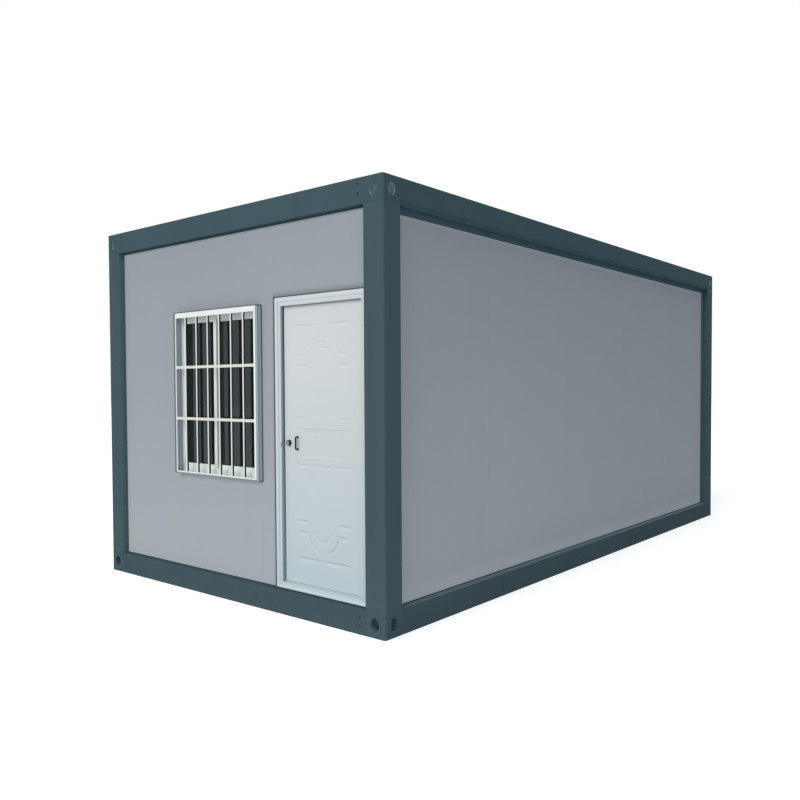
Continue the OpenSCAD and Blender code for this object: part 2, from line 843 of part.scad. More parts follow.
base_corner(true, true);  // base_corner_front_right
base_corner(false, true);  // base_corner_front_left
base_corner(true, false);  // base_corner_rear_right
base_corner(false, false);  // base_corner_rear_left
roof_corner(true, true);  // roof_corner_front_right
roof_corner(false, true);  // roof_corner_front_left
roof_corner(true, false);  // roof_corner_rear_right
roof_corner(false, false);  // roof_corner_rear_left
post(true, true);  // post_front_right
post(false, true);  // post_front_left
post(true, false);  // post_rear_right
post(false, false);  // post_rear_left
base_beam_end(true);  // base_beam_front
base_beam_end(false);  // base_beam_rear
base_beam_side(true);  // base_beam_right
base_beam_side(false);  // base_beam_left
roof_beam_end(true);  // roof_beam_front
roof_beam_end(false);  // roof_beam_rear
roof_beam_side(true);  // roof_beam_right
roof_beam_side(false);  // roof_beam_left
floor_joists();
floor_board();
roof_joists();
ceiling();
roof_sheet();
left_wall();
right_wall();
rear_wall();
front_wall_left();
front_wall_middle();
front_wall_at_window();
front_wall_over_door();
wall_head_trims();
door_frame();
door_leaf();
door_pull_handle();
door_lock_knob();
door_hinge_pins();
door_hinge_barrels();
window_frame();
window_sash_left();
window_sash_right();
window_panes();
window_guard();
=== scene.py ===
"""Looks of the container cabin: finishes, small parts, light and camera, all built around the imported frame."""
import math
from itertools import product

import bmesh
import bpy
import numpy as np
from mathutils import Matrix, Vector


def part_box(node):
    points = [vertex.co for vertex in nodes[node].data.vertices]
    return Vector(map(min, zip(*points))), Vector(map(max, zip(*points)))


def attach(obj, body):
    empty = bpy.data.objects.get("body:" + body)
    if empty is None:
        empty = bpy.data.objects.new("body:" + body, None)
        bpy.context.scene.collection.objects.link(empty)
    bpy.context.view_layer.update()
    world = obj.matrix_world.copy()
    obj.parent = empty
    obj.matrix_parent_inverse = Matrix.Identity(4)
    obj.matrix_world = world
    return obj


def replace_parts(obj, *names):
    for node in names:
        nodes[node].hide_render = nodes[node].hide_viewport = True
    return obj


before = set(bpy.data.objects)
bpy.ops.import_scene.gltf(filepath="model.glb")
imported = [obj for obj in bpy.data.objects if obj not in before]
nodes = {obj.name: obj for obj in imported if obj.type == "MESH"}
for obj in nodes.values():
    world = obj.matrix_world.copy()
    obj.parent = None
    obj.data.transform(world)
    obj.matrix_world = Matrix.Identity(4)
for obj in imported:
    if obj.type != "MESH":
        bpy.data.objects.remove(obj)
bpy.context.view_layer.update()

MM = 0.001
TAU = 2 * math.pi
HALF_WIDTH, HALF_LENGTH = 1500, 2925
FORWARD = (0, -1, 0)


def rgb(r, g, b):
    """A colour picked as 0-255 sRGB numbers, as linear light."""
    return tuple(c / 255 / 12.92 if c <= 10.3 else ((c / 255 + 0.055) / 1.055) ** 2.4 for c in (r, g, b)) + (1.0,)


def link(thing):
    bpy.context.scene.collection.objects.link(thing)


# -------- camera
def make_camera(place, azimuth, pitch, roll, lens, shift_y):
    """A camera at eye height. Azimuth 0 looks along +Y, and a positive one turns towards -X."""
    a, p, r = (math.radians(v) for v in (azimuth, pitch, roll))
    forward = Vector((-math.sin(a) * math.cos(p), math.cos(a) * math.cos(p), math.sin(p)))
    level = Vector((math.cos(a), math.sin(a), 0))
    down = forward.cross(level)
    right = math.cos(r) * level - math.sin(r) * down
    below = math.sin(r) * level + math.cos(r) * down
    data = bpy.data.cameras.new("camera")
    data.sensor_width = 36
    data.lens = lens
    data.shift_y = shift_y
    data.clip_end = 300
    camera = bpy.data.objects.new("camera", data)
    turn = Matrix((right, -below, -forward)).transposed()
    camera.matrix_world = Matrix.Translation(place) @ turn.to_4x4()
    link(camera)
    bpy.context.scene.camera = camera


make_camera(place=(4.5203, -6.4435, 1.5139), azimuth=39.492, pitch=-1.699, roll=-0.284, lens=35.405, shift_y=0.0126)


# -------- node helpers
def new_material(name):
    material = bpy.data.materials.new(name)
    material.use_nodes = True
    tree = material.node_tree
    tree.nodes.clear()
    return material, tree


def add(tree, kind, inputs=None, **settings):
    """Adds a shader node. An input is a number, a colour, or another node's output socket."""
    node = tree.nodes.new("ShaderNode" + kind)
    for key, value in settings.items():
        setattr(node, key, value)
    for key, value in (inputs or {}).items():
        if isinstance(value, bpy.types.NodeSocket):
            tree.links.new(value, node.inputs[key])
        else:
            node.inputs[key].default_value = value
    return node


def calc(tree, how, *values):
    """The result of one Math node on one or two values."""
    return add(tree, "Math", dict(enumerate(values)), operation=how).outputs[0]


def noise(tree, place, scale, detail=3.0, stretch=(1, 1, 1), rough=0.5):
    """A noise whose scale counts features per metre, stretched along an axis by a number below 1."""
    if stretch != (1, 1, 1):
        place = add(tree, "Mapping", {"Vector": place, "Scale": stretch}).outputs["Vector"]
    return add(tree, "TexNoise", {"Vector": place, "Scale": scale, "Detail": detail, "Roughness": rough}).outputs["Fac"]


def remap(tree, value, low, high, to_low=0.0, to_high=1.0):
    """Carries a value from low..high to to_low..to_high, and holds it at both ends."""
    return add(tree, "MapRange", {
        "Value": value, "From Min": low, "From Max": high, "To Min": to_low, "To Max": to_high}).outputs["Result"]


def blend_colours(tree, factor, first, second, how="MIX"):
    """The first colour where the factor is 0, and the second where it is 1."""
    return add(tree, "Mix", {0: factor, 6: first, 7: second},
               data_type="RGBA", blend_type=how, clamp_factor=True).outputs[2]


# -------- light and floor
SKY = 0.51
SKY_COLOUR = (0.94, 1.0, 1.03, 1)
SUN = 1.78
SUN_COLOUR = (1.0, 0.975, 0.94)
SUN_SIZE = 40
SUN_FROM = (0.0, -0.80, 0.58)
FILL = 22
FILL_AT = (5.4, -3.3, 0.4)
FILL_TO = (1.5, -2.0, 0.7)
FLOOR_COLOUR = (0.7, 0.7, 0.7, 1)
FLOOR_GLOW = 0.6
FLOOR_RADIUS = 60.0
FLOOR_DROP = 0.0005
WHITE = (1, 1, 1, 1)


def background_rays(tree):
    """1 for the rays that show a background, which are those of the camera, of gloss and of glass, and 0 for light."""
    rays = add(tree, "LightPath").outputs
    straight = calc(tree, "MAXIMUM", rays["Is Camera Ray"], rays["Is Glossy Ray"])
    return calc(tree, "MAXIMUM", straight, rays["Is Transmission Ray"])


def make_light():
    """A soft sky that shows as white, a wide sun on the door's end, and a weak fill on the long side."""
    scene = bpy.context.scene
    scene.view_settings.view_transform = "Standard"
    world = bpy.data.worlds.new("sky")
    world.use_nodes = True
    tree = world.node_tree
    tree.nodes.clear()
    studio = add(tree, "Background", {"Color": SKY_COLOUR, "Strength": SKY})
    white = add(tree, "Background", {"Color": WHITE, "Strength": 1.0})
    both = add(tree, "MixShader", {0: background_rays(tree), 1: studio.outputs[0], 2: white.outputs[0]})
    add(tree, "OutputWorld", {"Surface": both.outputs[0]})
    scene.world = world

    sun = bpy.data.lights.new("key", "SUN")
    sun.energy = SUN
    sun.angle = math.radians(SUN_SIZE)
    sun.color = SUN_COLOUR
    lamp = bpy.data.objects.new("key", sun)
    lamp.rotation_euler = Vector(SUN_FROM).to_track_quat("Z", "Y").to_euler()
    lamp.location = Vector(SUN_FROM) * 12
    link(lamp)

    soft = bpy.data.lights.new("fill", "AREA")
    soft.shape = "RECTANGLE"
    soft.size, soft.size_y = 3.0, 1.2
    soft.energy = FILL
    box = bpy.data.objects.new("fill", soft)
    box.location = FILL_AT
    box.rotation_euler = (Vector(FILL_AT) - Vector(FILL_TO)).to_track_quat("Z", "Y").to_euler()
    box.visible_camera = box.visible_glossy = box.visible_transmission = False
    link(box)


def make_floor():
    """A wide round floor that shows as white and keeps the shadow."""
    material, tree = new_material("studio_floor")
    place = add(tree, "TexCoord").outputs["Object"]
    tone = remap(tree, noise(tree, place, 0.5), 0.3, 0.7, 0.985, 1.0)
    shader = add(tree, "BsdfPrincipled", {
        "Base Color": blend_colours(tree, tone, (0.0, 0.0, 0.0, 1), FLOOR_COLOUR), "Roughness": 0.9,
        "Specular IOR Level": 0.0, "Emission Color": WHITE,
        "Emission Strength": calc(tree, "MULTIPLY", background_rays(tree), FLOOR_GLOW)})
    add(tree, "OutputMaterial", {"Surface": shader.outputs[0]})

    rings, sides = 12, 64
    verts = [(0, 0, 0)]
    faces = []
    for ring in range(1, rings + 1):
        r = FLOOR_RADIUS * (ring / rings) ** 2
        verts += [(r * math.cos(TAU * k / sides), r * math.sin(TAU * k / sides), 0) for k in range(sides)]
    for k in range(sides):
        after = (k + 1) % sides
        faces.append((0, 1 + k, 1 + after))
        for ring in range(rings - 1):
            a = 1 + ring * sides
            b = a + sides
            faces.append((a + k, b + k, b + after, a + after))
    mesh = bpy.data.meshes.new("floor")
    mesh.from_pydata(verts, [], faces)
    mesh.materials.append(material)
    floor = bpy.data.objects.new("floor", mesh)
    floor.location.z = -FLOOR_DROP
    link(floor)


make_light()
make_floor()


# -------- shapes, in millimetres
def smooth_by_angle():
    """A node group that forgets imported normals and shades smooth wherever faces meet at under 30 degrees."""
    group = bpy.data.node_groups.new("smooth_by_angle", "GeometryNodeTree")
    for way in ("INPUT", "OUTPUT"):
        group.interface.new_socket("Mesh", in_out=way, socket_type="NodeSocketGeometry")
    new, join = group.nodes.new, group.links.new
    start, end = new("NodeGroupInput"), new("NodeGroupOutput")
    angle = new("GeometryNodeInputMeshEdgeAngle")
    sharp = new("FunctionNodeCompare")
    sharp.data_type = "FLOAT"
    sharp.operation = "GREATER_THAN"
    sharp.inputs[1].default_value = math.radians(30)
    normals = new("GeometryNodeSetMeshNormal")
    normals.mode = "SHARPNESS"
    normals.inputs["Remove Custom"].default_value = True
    join(angle.outputs[0], sharp.inputs[0])
    join(sharp.outputs[0], normals.inputs["Edge Sharpness"])
    join(start.outputs[0], normals.inputs[0])
    join(normals.outputs[0], end.inputs[0])
    return group


SMOOTH = smooth_by_angle()


def axes_for(direction):
    """Two directions square to the given one."""
    d = Vector(direction).normalized()
    u = d.cross(Vector((0, 0, 1)) if abs(d.z) < 0.9 else Vector((1, 0, 0))).normalized()
    return d, u, d.cross(u)


class Shape:
    """Collects closed bodies in millimetres, and makes one piece of them."""

    def __init__(self):
        self.verts = []
        self.faces = []

    def add(self, verts, faces):
        base = len(self.verts)
        self.verts += [tuple(v) for v in verts]
        self.faces += [tuple(base + i for i in f) for f in faces]

    def block(self, low, high, edge=0.5):
        """A box with chamfered edges."""
        low, high = Vector(low), Vector(high)
        corners = list(product((0, 1), repeat=3))
        verts = []
        index = {}
        for s in corners:
            for kind in range(3):
                index[s + (kind,)] = len(verts)
                eased = [0 if i == kind else -edge if s[i] else edge for i in range(3)]
                verts.append([(high[i] if s[i] else low[i]) + eased[i] for i in range(3)])
        faces = []
        for kind in range(3):
            a, b = (i for i in range(3) if i != kind)

            def vertex(along, sa, sb, owner):
                s = [0, 0, 0]
                s[kind], s[a], s[b] = along, sa, sb
                return index[tuple(s) + (owner,)]

            faces += [[vertex(side, sa, sb, kind) for sa, sb in ((0, 0), (1, 0), (1, 1), (0, 1))] for side in (0, 1)]
            faces += [[vertex(0, sa, sb, a), vertex(1, sa, sb, a), vertex(1, sa, sb, b), vertex(0, sa, sb, b)]
                      for sa, sb in product((0, 1), repeat=2)]
        faces += [[index[s + (k,)] for k in range(3)] for s in corners]
        self.add(verts, faces)

    def turned(self, at, axis, profile, sides=24, start=0.0):
        """A body turned about an axis. The profile is (radius, distance along) rows that start and end at radius 0."""
        d, u, v = axes_for(axis)
        at = Vector(at)
        verts, rings, faces = [], [], []
        for radius, along in profile:
            centre = at + d * along
            if radius <= 0:
                rings.append([len(verts)])
                verts.append(centre)
            else:
                rings.append(list(range(len(verts), len(verts) + sides)))
                for k in range(sides):
                    t = start + TAU * k / sides
                    verts.append(centre + (u * math.cos(t) + v * math.sin(t)) * radius)
        for a, b in zip(rings, rings[1:]):
            for k in range(sides):
                n = (k + 1) % sides
                if len(a) == 1:
                    faces.append((a[0], b[k], b[n]))
                elif len(b) == 1:
                    faces.append((a[k], a[n], b[0]))
                else:
                    faces.append((a[k], a[n], b[n], b[k]))
        self.add(verts, faces)

    def rivet(self, at, axis, radius):
        """A domed blind rivet with the dimple of its pulled pin."""
        r = radius
        self.turned(at, axis, [(0, -0.3), (r, -0.3), (r, 0.1 * r), (0.86 * r, 0.32 * r), (0.55 * r, 0.48 * r),
                               (0.3 * r, 0.5 * r), (0.26 * r, 0.34 * r), (0, 0.34 * r)], 16)

    def screw(self, at, axis, radius):
        """A hexagonal self-drilling screw head on its washer flange."""
        r = radius
        self.turned(at, axis, [(0, -0.3), (1.5 * r, -0.3), (1.5 * r, 0.12 * r), (1.35 * r, 0.3 * r), (0, 0.3 * r)], 20)
        self.turned(at, axis, [(0, 0.2 * r), (r, 0.2 * r), (r, 0.95 * r), (0.88 * r, 1.1 * r), (0, 1.1 * r)], 6)

    def ring(self, outer, inner, back, front):
        """A flat ring between two outlines of as many points, as thick as from the vector back to the vector front."""
        n = len(outer)
        back, front = Vector(back), Vector(front)
        verts = [Vector(p) + back for p in outer] + [Vector(p) + front for p in outer]
        verts += [Vector(p) + back for p in inner] + [Vector(p) + front for p in inner]
        faces = []
        for k in range(n):
            m = (k + 1) % n
            faces += [(k, m, n + m, n + k), (2 * n + k, 2 * n + m, 3 * n + m, 3 * n + k),
                      (k, m, 2 * n + m, 2 * n + k), (n + k, n + m, 3 * n + m, 3 * n + k)]
        self.add(verts, faces)

    def swept(self, path, section, closed=False):
        """A section of (right, out) points along a path. Each path point is (place, right vector, out vector)."""
        n, count = len(section), len(path)
        verts = [Vector(p) + Vector(r) * a + Vector(o) * b for p, r, o in path for a, b in section]
        faces = []
        for i in range(count if closed else count - 1):
            j = (i + 1) % count
            for k in range(n):
                m = (k + 1) % n
                faces.append((i * n + k, i * n + m, j * n + m, j * n + k))
        if not closed:
            faces += [tuple(range(n)), tuple((count - 1) * n + k for k in range(n))]
        self.add(verts, faces)

    def make(self, name, material, body, slot):
        """Makes the piece, which rides a body. The slot is not used."""
        mesh = bpy.data.meshes.new(name)
        mesh.from_pydata([Vector(v) * MM for v in self.verts], [], self.faces)
        work = bmesh.new()
        work.from_mesh(mesh)
        bmesh.ops.recalc_face_normals(work, faces=work.faces)
        work.to_mesh(mesh)
        work.free()
        mesh.shade_smooth()
        mesh.materials.append(material)
        piece = bpy.data.objects.new(name, mesh)
        link(piece)
        piece.modifiers.new("smooth", "NODES").node_group = SMOOTH
        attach(piece, body)
        return piece


def box_mm(name):
    """The two corners of a CAD node, in millimetres."""
    low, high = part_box(name)
    return low / MM, high / MM


def oval(width, height, steps=10):
    """Points round an upright slot with round ends."""
    r = width / 2
    rise = height / 2 - r
    points = []
    for side in (1, -1):
        for k in range(steps + 1):
            t = math.pi * k / steps
            points.append((side * r * math.cos(t), side * (r * math.sin(t) + rise)))
    return points


# -------- finishes
# Places that the layers of paint go by, in metres.
GUARD_LOW, GUARD_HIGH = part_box("window_guard")
GUARD_SIDE, GUARD_FOOT, GUARD_HEAD = 0.03, 0.018, 0.037
DOOR_LOW, DOOR_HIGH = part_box("door_frame")
BASE_TOP, SIDE_WALL_HEAD, END_WALL_HEAD, ROOF_BEAM_FOOT = 0.16, 2.565, 2.597, 2.616
FRONT_SKIN_Y, SIDE_BEAM_X, POST_INSIDE_X = -2.88, 1.435, 1.4
BLOCK_HEIGHT, ROOF_BLOCK_FOOT, BLOCK_PLATE = 0.16, 2.61, 0.0048
GRAIN_SCALE = 260
BUMP_DEPTH = 0.0004
DUST_COLOUR = rgb(150, 148, 142)


def scaled(colour, share, lift=0.0):
    """The colour times share, with lift added, and no channel over 1."""
    return tuple(min(1, c * share + lift) for c in colour[:3]) + (1,)


class Surface:
    """A finish in the making. Each layer goes over the shade so far, through a mask that runs from 0 to 1."""

    def __init__(self, name):
        self.material, self.tree = new_material(name)
        self.coordinates = add(self.tree, "TexCoord")
        self.place = self.coordinates.outputs["Object"]
        self.shade = self.roughness = None

    def at(self):
        """The x, y and z of the point, in metres."""
        return add(self.tree, "SeparateXYZ", {"Vector": self.place}).outputs

    def facing(self):
        """The x, y and z of the way that the face looks."""
        return add(self.tree, "SeparateXYZ", {"Vector": self.coordinates.outputs["Normal"]}).outputs

    def calc(self, how, *values):
        return calc(self.tree, how, *values)

    def size(self, value):
        return self.calc("ABSOLUTE", value)

    def over(self, value, limit):
        """1 where the value is over the limit, and 0 elsewhere."""
        return self.calc("GREATER_THAN", value, limit)

    def under(self, value, limit):
        return self.calc("LESS_THAN", value, limit)

    def fade(self, value, low, high, to_low=0.0, to_high=1.0):
        return remap(self.tree, value, low, high, to_low, to_high)

    def times(self, first, *others):
        for other in others:
            first = self.calc("MULTIPLY", first, other)
        return first

    def layer(self, mask, colour, how="MIX"):
        self.shade = blend_colours(self.tree, mask, self.shade, colour, how)

    def wear(self, mask, colour, rougher):
        """A layer that also roughens the surface."""
        self.layer(mask, colour)
        self.roughness = self.calc("ADD", self.roughness, self.times(mask, rougher))


def sideways_light_and_shade(s, painted_light_and_shade):
    """Faces that look along X take another colour: painted light where it is lighter, painted shade where it is darker.
    """
    s.layer(s.fade(s.size(s.facing()["X"]), 0.6, 0.8), painted_light_and_shade)


def guard_painted_side_shade(s, painted_light_and_shade, bars, bar_fronts, plate_edges):
    """Painted shade on the guard's faces that look along X: the side plates darker, with a lighter strip near the front
    edge, and the bars' sides darker still; the bars between are cream in front.
    """
    turned = s.size(s.facing()["X"])
    x, y, z = s.at()
    among = s.times(s.over(x, GUARD_LOW.x + GUARD_SIDE), s.under(x, GUARD_HIGH.x - GUARD_SIDE),
                    s.times(s.over(z, GUARD_LOW.z + GUARD_FOOT), s.under(z, GUARD_HIGH.z - GUARD_HEAD)))
    s.layer(s.times(among, 0.8), bar_fronts)
    near_front = s.fade(y, GUARD_LOW.y + 0.024, GUARD_LOW.y + 0.016)
    colour = blend_colours(s.tree, near_front, painted_light_and_shade, plate_edges)
    s.layer(s.fade(turned, 0.6, 0.8), blend_colours(s.tree, among, colour, bars))


def guard_rim_shade(s, painted_shade):
    """Painted shade on the guard's front along its left and bottom edges, and on top of its bottom plate."""
    x, y, z = s.at()
    edge = s.calc("MAXIMUM", s.under(x, GUARD_LOW.x + 0.009), s.under(z, GUARD_LOW.z + 0.009))
    s.layer(s.times(edge, s.under(y, GUARD_LOW.y + 0.002), 0.85), painted_shade)
    s.layer(s.times(s.over(s.facing()["Z"], 0.8), s.under(z, GUARD_LOW.z + 0.03), 0.9), painted_shade)


def painted_border_light(s, colour, ends_head, ends_foot, sides_head, sides_foot):
    """Painted light close under a wall's head and above its foot, lightening the shade under the head trims and above
    the base beams, with shares for the ends and for the sides.
    """
    height = s.at()["Z"]

    def border(edge, reach, power, share):
        return s.times(s.calc("POWER", s.fade(height, edge + reach, edge), power), share)

    on_ends = s.calc("MAXIMUM", border(END_WALL_HEAD, -0.052, 2.0, ends_head), border(BASE_TOP, 0.07, 2.0, ends_foot))
    on_sides = s.calc("MAXIMUM", border(SIDE_WALL_HEAD, -0.04, 2.0, sides_head),
                      border(BASE_TOP, 0.13, 1.6, sides_foot))
    is_side = s.over(s.size(s.facing()["X"]), 0.5)
    amount = add(s.tree, "Mix", {0: is_side, 2: on_ends, 3: on_sides}, data_type="FLOAT")
    s.layer(amount.outputs[0], colour)


def front_wall_shade_and_light(s, painted_shade, guard_foot_light):
    """On the front wall, painted shade round the door frame, and painted light close under the window's guard that
    lightens the shadow there.
    """
    x, y, z = s.at()
    front = s.under(y, FRONT_SKIN_Y)
    beside_door = s.calc("MINIMUM", s.fade(x, DOOR_LOW.x - 0.05, DOOR_LOW.x),
                         s.fade(z, DOOR_HIGH.z + 0.052, DOOR_HIGH.z))
    s.layer(s.times(s.calc("POWER", beside_door, 1.5), front), painted_shade)
    across = s.calc("MINIMUM", s.fade(x, GUARD_LOW.x - 0.02, GUARD_LOW.x + 0.05),
                    s.fade(x, GUARD_HIGH.x + 0.02, GUARD_HIGH.x - 0.02))
    below = s.times(s.fade(z, GUARD_LOW.z - 0.08, GUARD_LOW.z), s.under(z, 0.9))
    s.layer(s.times(s.calc("POWER", below, 1.3), across, front), guard_foot_light)


def post_flanks(s, colour):
    """Painted light on the posts' inner flanks, for the light that the pale walls throw on them."""
    deep = s.under(s.size(s.at()["X"]), POST_INSIDE_X)
    s.layer(s.times(deep, s.over(s.size(s.facing()["X"]), 0.7)), colour)


def beam_ledge_light(s, dust_and_ledge_light):
    """Painted light on the faces of the side beams that look up."""
    beside = s.over(s.size(s.at()["X"]), SIDE_BEAM_X)
    s.layer(s.times(beside, s.fade(s.facing()["Z"], 0.8, 0.95)), dust_and_ledge_light)


def beam_hem_light_and_shade(s, edge, under):
    """Painted shade along the lower edge of a side roof beam's face, and painted light on the faces that look down."""
    facing = s.facing()
    sideways = s.over(s.size(facing["X"]), 0.5)
    s.layer(s.times(sideways, s.fade(s.at()["Z"], ROOF_BEAM_FOOT + 0.024, ROOF_BEAM_FOOT)), edge)
    s.layer(s.fade(facing["Z"], -0.7, -0.9), under)


def block_inside_light(s, painted_light_and_shade):
    """A lighter colour wherever a face lies deeper than the outer plates of the corner blocks: primer, lightened
    further as painted light in the shaded pockets.
    """
    x, y, z = s.at()
    from_middle = s.size(s.calc("SUBTRACT", s.calc("MODULO", z, ROOF_BLOCK_FOOT), BLOCK_HEIGHT / 2))
    deep_x, deep_y = (s.under(s.size(v), half * MM - BLOCK_PLATE) for v, half in ((x, HALF_WIDTH), (y, HALF_LENGTH)))
    s.layer(s.times(deep_x, deep_y, s.under(from_middle, BLOCK_HEIGHT / 2 - 0.0035)), painted_light_and_shade)


def paint(name, colour, rough, tone=0.05, tone_scale=1.1, grain=0.025, bump=0.12, bump_scale=340, streak=0.0,
          dust_and_ledge_light=0.0, dust_top=0.7, foot=None, foot_z=0.2, head_z=2.4, scuff=0.0, metallic=0.0, specular=0.5,
          layers=(), inside=None):
    """A coated or plated surface. All amounts are shares of the colour, all scales are features per metre.

    tone: broad uneven colour; grain: fine speckle; streak: vertical rain marks; dust: settles towards the foot, from
    dust_top down; foot: the colour that it fades to between head_z and foot_z; scuff: small rubbed marks; layers: rows
    of a layer's function and what it takes, under the wear; inside: the corner blocks' primer, lightened further as
    painted light in their pockets, over the wear."""
    s = Surface(name)
    tree, place = s.tree, s.place
    fine = noise(tree, place, GRAIN_SCALE, 2)
    height = s.at()["Z"]
    broad = s.fade(noise(tree, place, tone_scale, 4), 0.3, 0.7)
    s.shade = blend_colours(tree, broad, scaled(colour, 1 - tone), scaled(colour, 1 + tone))
    s.roughness = s.fade(fine, 0.3, 0.7, rough - 0.03, rough + 0.03)
    if foot:
        s.layer(s.fade(height, foot_z, head_z, 1.0, 0.0), foot)
    s.layer(s.fade(fine, 0.3, 0.7, 0, grain), WHITE, "SOFT_LIGHT")
    for lay, *taken in layers:
        lay(s, *taken)
    if streak:
        runs = s.fade(noise(tree, place, 9.0, 5, (1, 1, 0.07)), 0.52, 0.72, 0, streak)
        s.wear(runs, scaled(colour, 0.6), 0.5)
    if dust_and_ledge_light:
        patches = s.fade(noise(tree, place, 14, 6), 0.35, 0.7, 0.2, 1.0)
        s.wear(s.times(s.fade(height, 0.0, dust_top, 1.0, 0.0), patches, dust_and_ledge_light), DUST_COLOUR, 0.4)
    if scuff:
        marks = s.fade(noise(tree, place, 42, 8, (1, 1, 0.6), 0.65), 0.66, 0.72, 0, scuff)
        s.wear(marks, scaled(colour, 0.5, 0.1), 0.6)
    if inside:
        block_inside_light(s, inside)
    relief = noise(tree, place, bump_scale, 2)
    normal = add(tree, "Bump", {"Height": relief, "Strength": bump, "Distance": BUMP_DEPTH}).outputs[0]
    shader = add(tree, "BsdfPrincipled", {
        "Base Color": s.shade, "Roughness": s.roughness, "Metallic": metallic, "Specular IOR Level": specular,
        "Normal": normal})
    add(tree, "OutputMaterial", {"Surface": shader.outputs[0]})
    return s.material


def glass():
    """Blue-grey glass under a thin uneven film."""
    material, tree = new_material("window_glass")
    place = add(tree, "TexCoord").outputs["Object"]
    film = noise(tree, place, 6, 5)
    tint = blend_colours(tree, remap(tree, film, 0.3, 0.7), rgb(54, 72, 78), rgb(64, 82, 88))
    shader = add(tree, "BsdfPrincipled", {
        "Base Color": tint, "Roughness": remap(tree, film, 0.4, 0.8, 0.02, 0.07),
        "Transmission Weight": 0.85, "IOR": 1.45, "Specular IOR Level": 0.22,
        "Specular Tint": (0.8, 0.95, 1.0, 1)})
    add(tree, "OutputMaterial", {"Surface": shader.outputs[0]})
    return material


def dress(material, *names, bevel=0.0):
    """Gives CAD nodes a finish, and eases their sharp edges by a millimetre or so."""
    for name in names:
        node = nodes[name]
        for slot in node.material_slots:
            slot.material = material
        weld = node.modifiers.new("weld", "WELD")
        weld.merge_threshold = 0.00001
        if bevel:
            flat = node.modifiers.new("flat", "DECIMATE")
            flat.decimate_type = "DISSOLVE"
            flat.angle_limit = math.radians(1)
        node.modifiers.new("smooth", "NODES").node_group = SMOOTH
        if bevel:
            ease = node.modifiers.new("ease", "BEVEL")
            ease.width = bevel * MM
            ease.segments = 2
            ease.limit_method = "ANGLE"
            ease.angle_limit = math.radians(40)
            ease.harden_normals = True


STEEL = dict(rough=0.5, tone=0.035, grain=0.04, bump=0.18, streak=0.08, dust_and_ledge_light=0.06, dust_top=0.5, scuff=0.10,
             specular=0.002)
SLOT = dict(rough=0.55, grain=0.04, bump=0.2, specular=0.002)
TRIM = dict(rough=0.55, tone=0.05, grain=0.05, bump=0.2, specular=0.002)
DOOR = dict(rough=0.4, tone=0.012, grain=0.01, bump=0.05, foot_z=0.2, head_z=1.6, specular=0.15)
PAINTED_LIGHT_SKIN = rgb(203, 212, 218)

ROOF_BEAM_PAINT = paint("frame_paint", rgb(68, 88, 96),
                        layers=[(beam_hem_light_and_shade, rgb(60, 79, 87), rgb(84, 107, 117))], **STEEL)
POST_PAINT = paint("post_paint", rgb(71, 90, 97), layers=[(post_flanks, rgb(98, 122, 132))], **STEEL)
BASE_BEAM_PAINT = paint("base_beam_paint", rgb(66, 85, 93), layers=[(beam_ledge_light, rgb(103, 122, 130))], **STEEL)
# The corner blocks' insides are primer lightened further as painted light, the roof ones almost white.
BASE_CORNER_PAINT = paint("base_corner_paint", rgb(68, 88, 96), inside=rgb(122, 161, 178), **STEEL)
ROOF_CORNER_PAINT = paint("roof_corner_paint", rgb(68, 88, 96), inside=rgb(236, 253, 255), **STEEL)
# The rings in the corner blocks' holes are lighter than the frame paint, the roof ones much lighter: painted light in
# the shaded holes.
BASE_SLOT = paint("base_slot_paint", rgb(82, 111, 125), tone=0.05, **SLOT)
ROOF_SLOT = paint("roof_slot_paint", rgb(141, 171, 181), tone=0.04, **SLOT)
TRIM_PAINT = paint("trim_paint", rgb(69, 91, 101), scuff=0.1, **TRIM)
# The edge trims' faces that look along X are lighter: painted light.
EDGE_PAINT = paint("edge_trim_paint", rgb(69, 91, 101), scuff=0.1,
                   layers=[(sideways_light_and_shade, rgb(80, 104, 114))], **TRIM)
FOOT_PAINT = paint("foot_trim_paint", rgb(54, 72, 80), dust_and_ledge_light=0.1, **TRIM)
NUT_PAINT = paint("nut_paint", rgb(30, 42, 50), 0.6, tone=0.1, bump=0.2, specular=0.05)
JOIST_PAINT = paint("joist_primer", rgb(92, 96, 98), 0.6, tone=0.06, dust_and_ledge_light=0.15, scuff=0.2, specular=0.3)

# The wall's skin lightens towards its foot, painted light, and its layers add painted light under the heads, above the
# feet and under the guard, and painted shade round the door frame.
WALL_SKIN = paint("wall_skin", rgb(153, 161, 166), 0.5, tone=0.018, tone_scale=0.8, grain=0.015, bump=0.06,
                  streak=0.03, foot=rgb(168, 175, 180), specular=0.002,
                  layers=[(painted_border_light, PAINTED_LIGHT_SKIN, 0.85, 0.22, 0.36, 0.62),
                          (front_wall_shade_and_light, rgb(112, 119, 123), PAINTED_LIGHT_SKIN)])
ROOF_SKIN = paint("roof_skin", rgb(150, 155, 160), 0.45, scuff=0.15, specular=0.2)
CEILING = paint("ceiling_board", rgb(214, 215, 212), 0.7, tone=0.02, bump=0.25, specular=0.25)
FLOOR_BOARD = paint("floor_board", rgb(122, 112, 98), 0.55, tone=0.12, tone_scale=3, grain=0.1, specular=0.3)
SEALANT = paint("grey_sealant", rgb(74, 84, 92), 0.6, tone=0.1, bump=0.25, bump_scale=160, dust_and_ledge_light=0.1, specular=0.1)

DOOR_PAINT = paint("door_paint", rgb(208, 213, 215), foot=rgb(184, 199, 206), **DOOR)
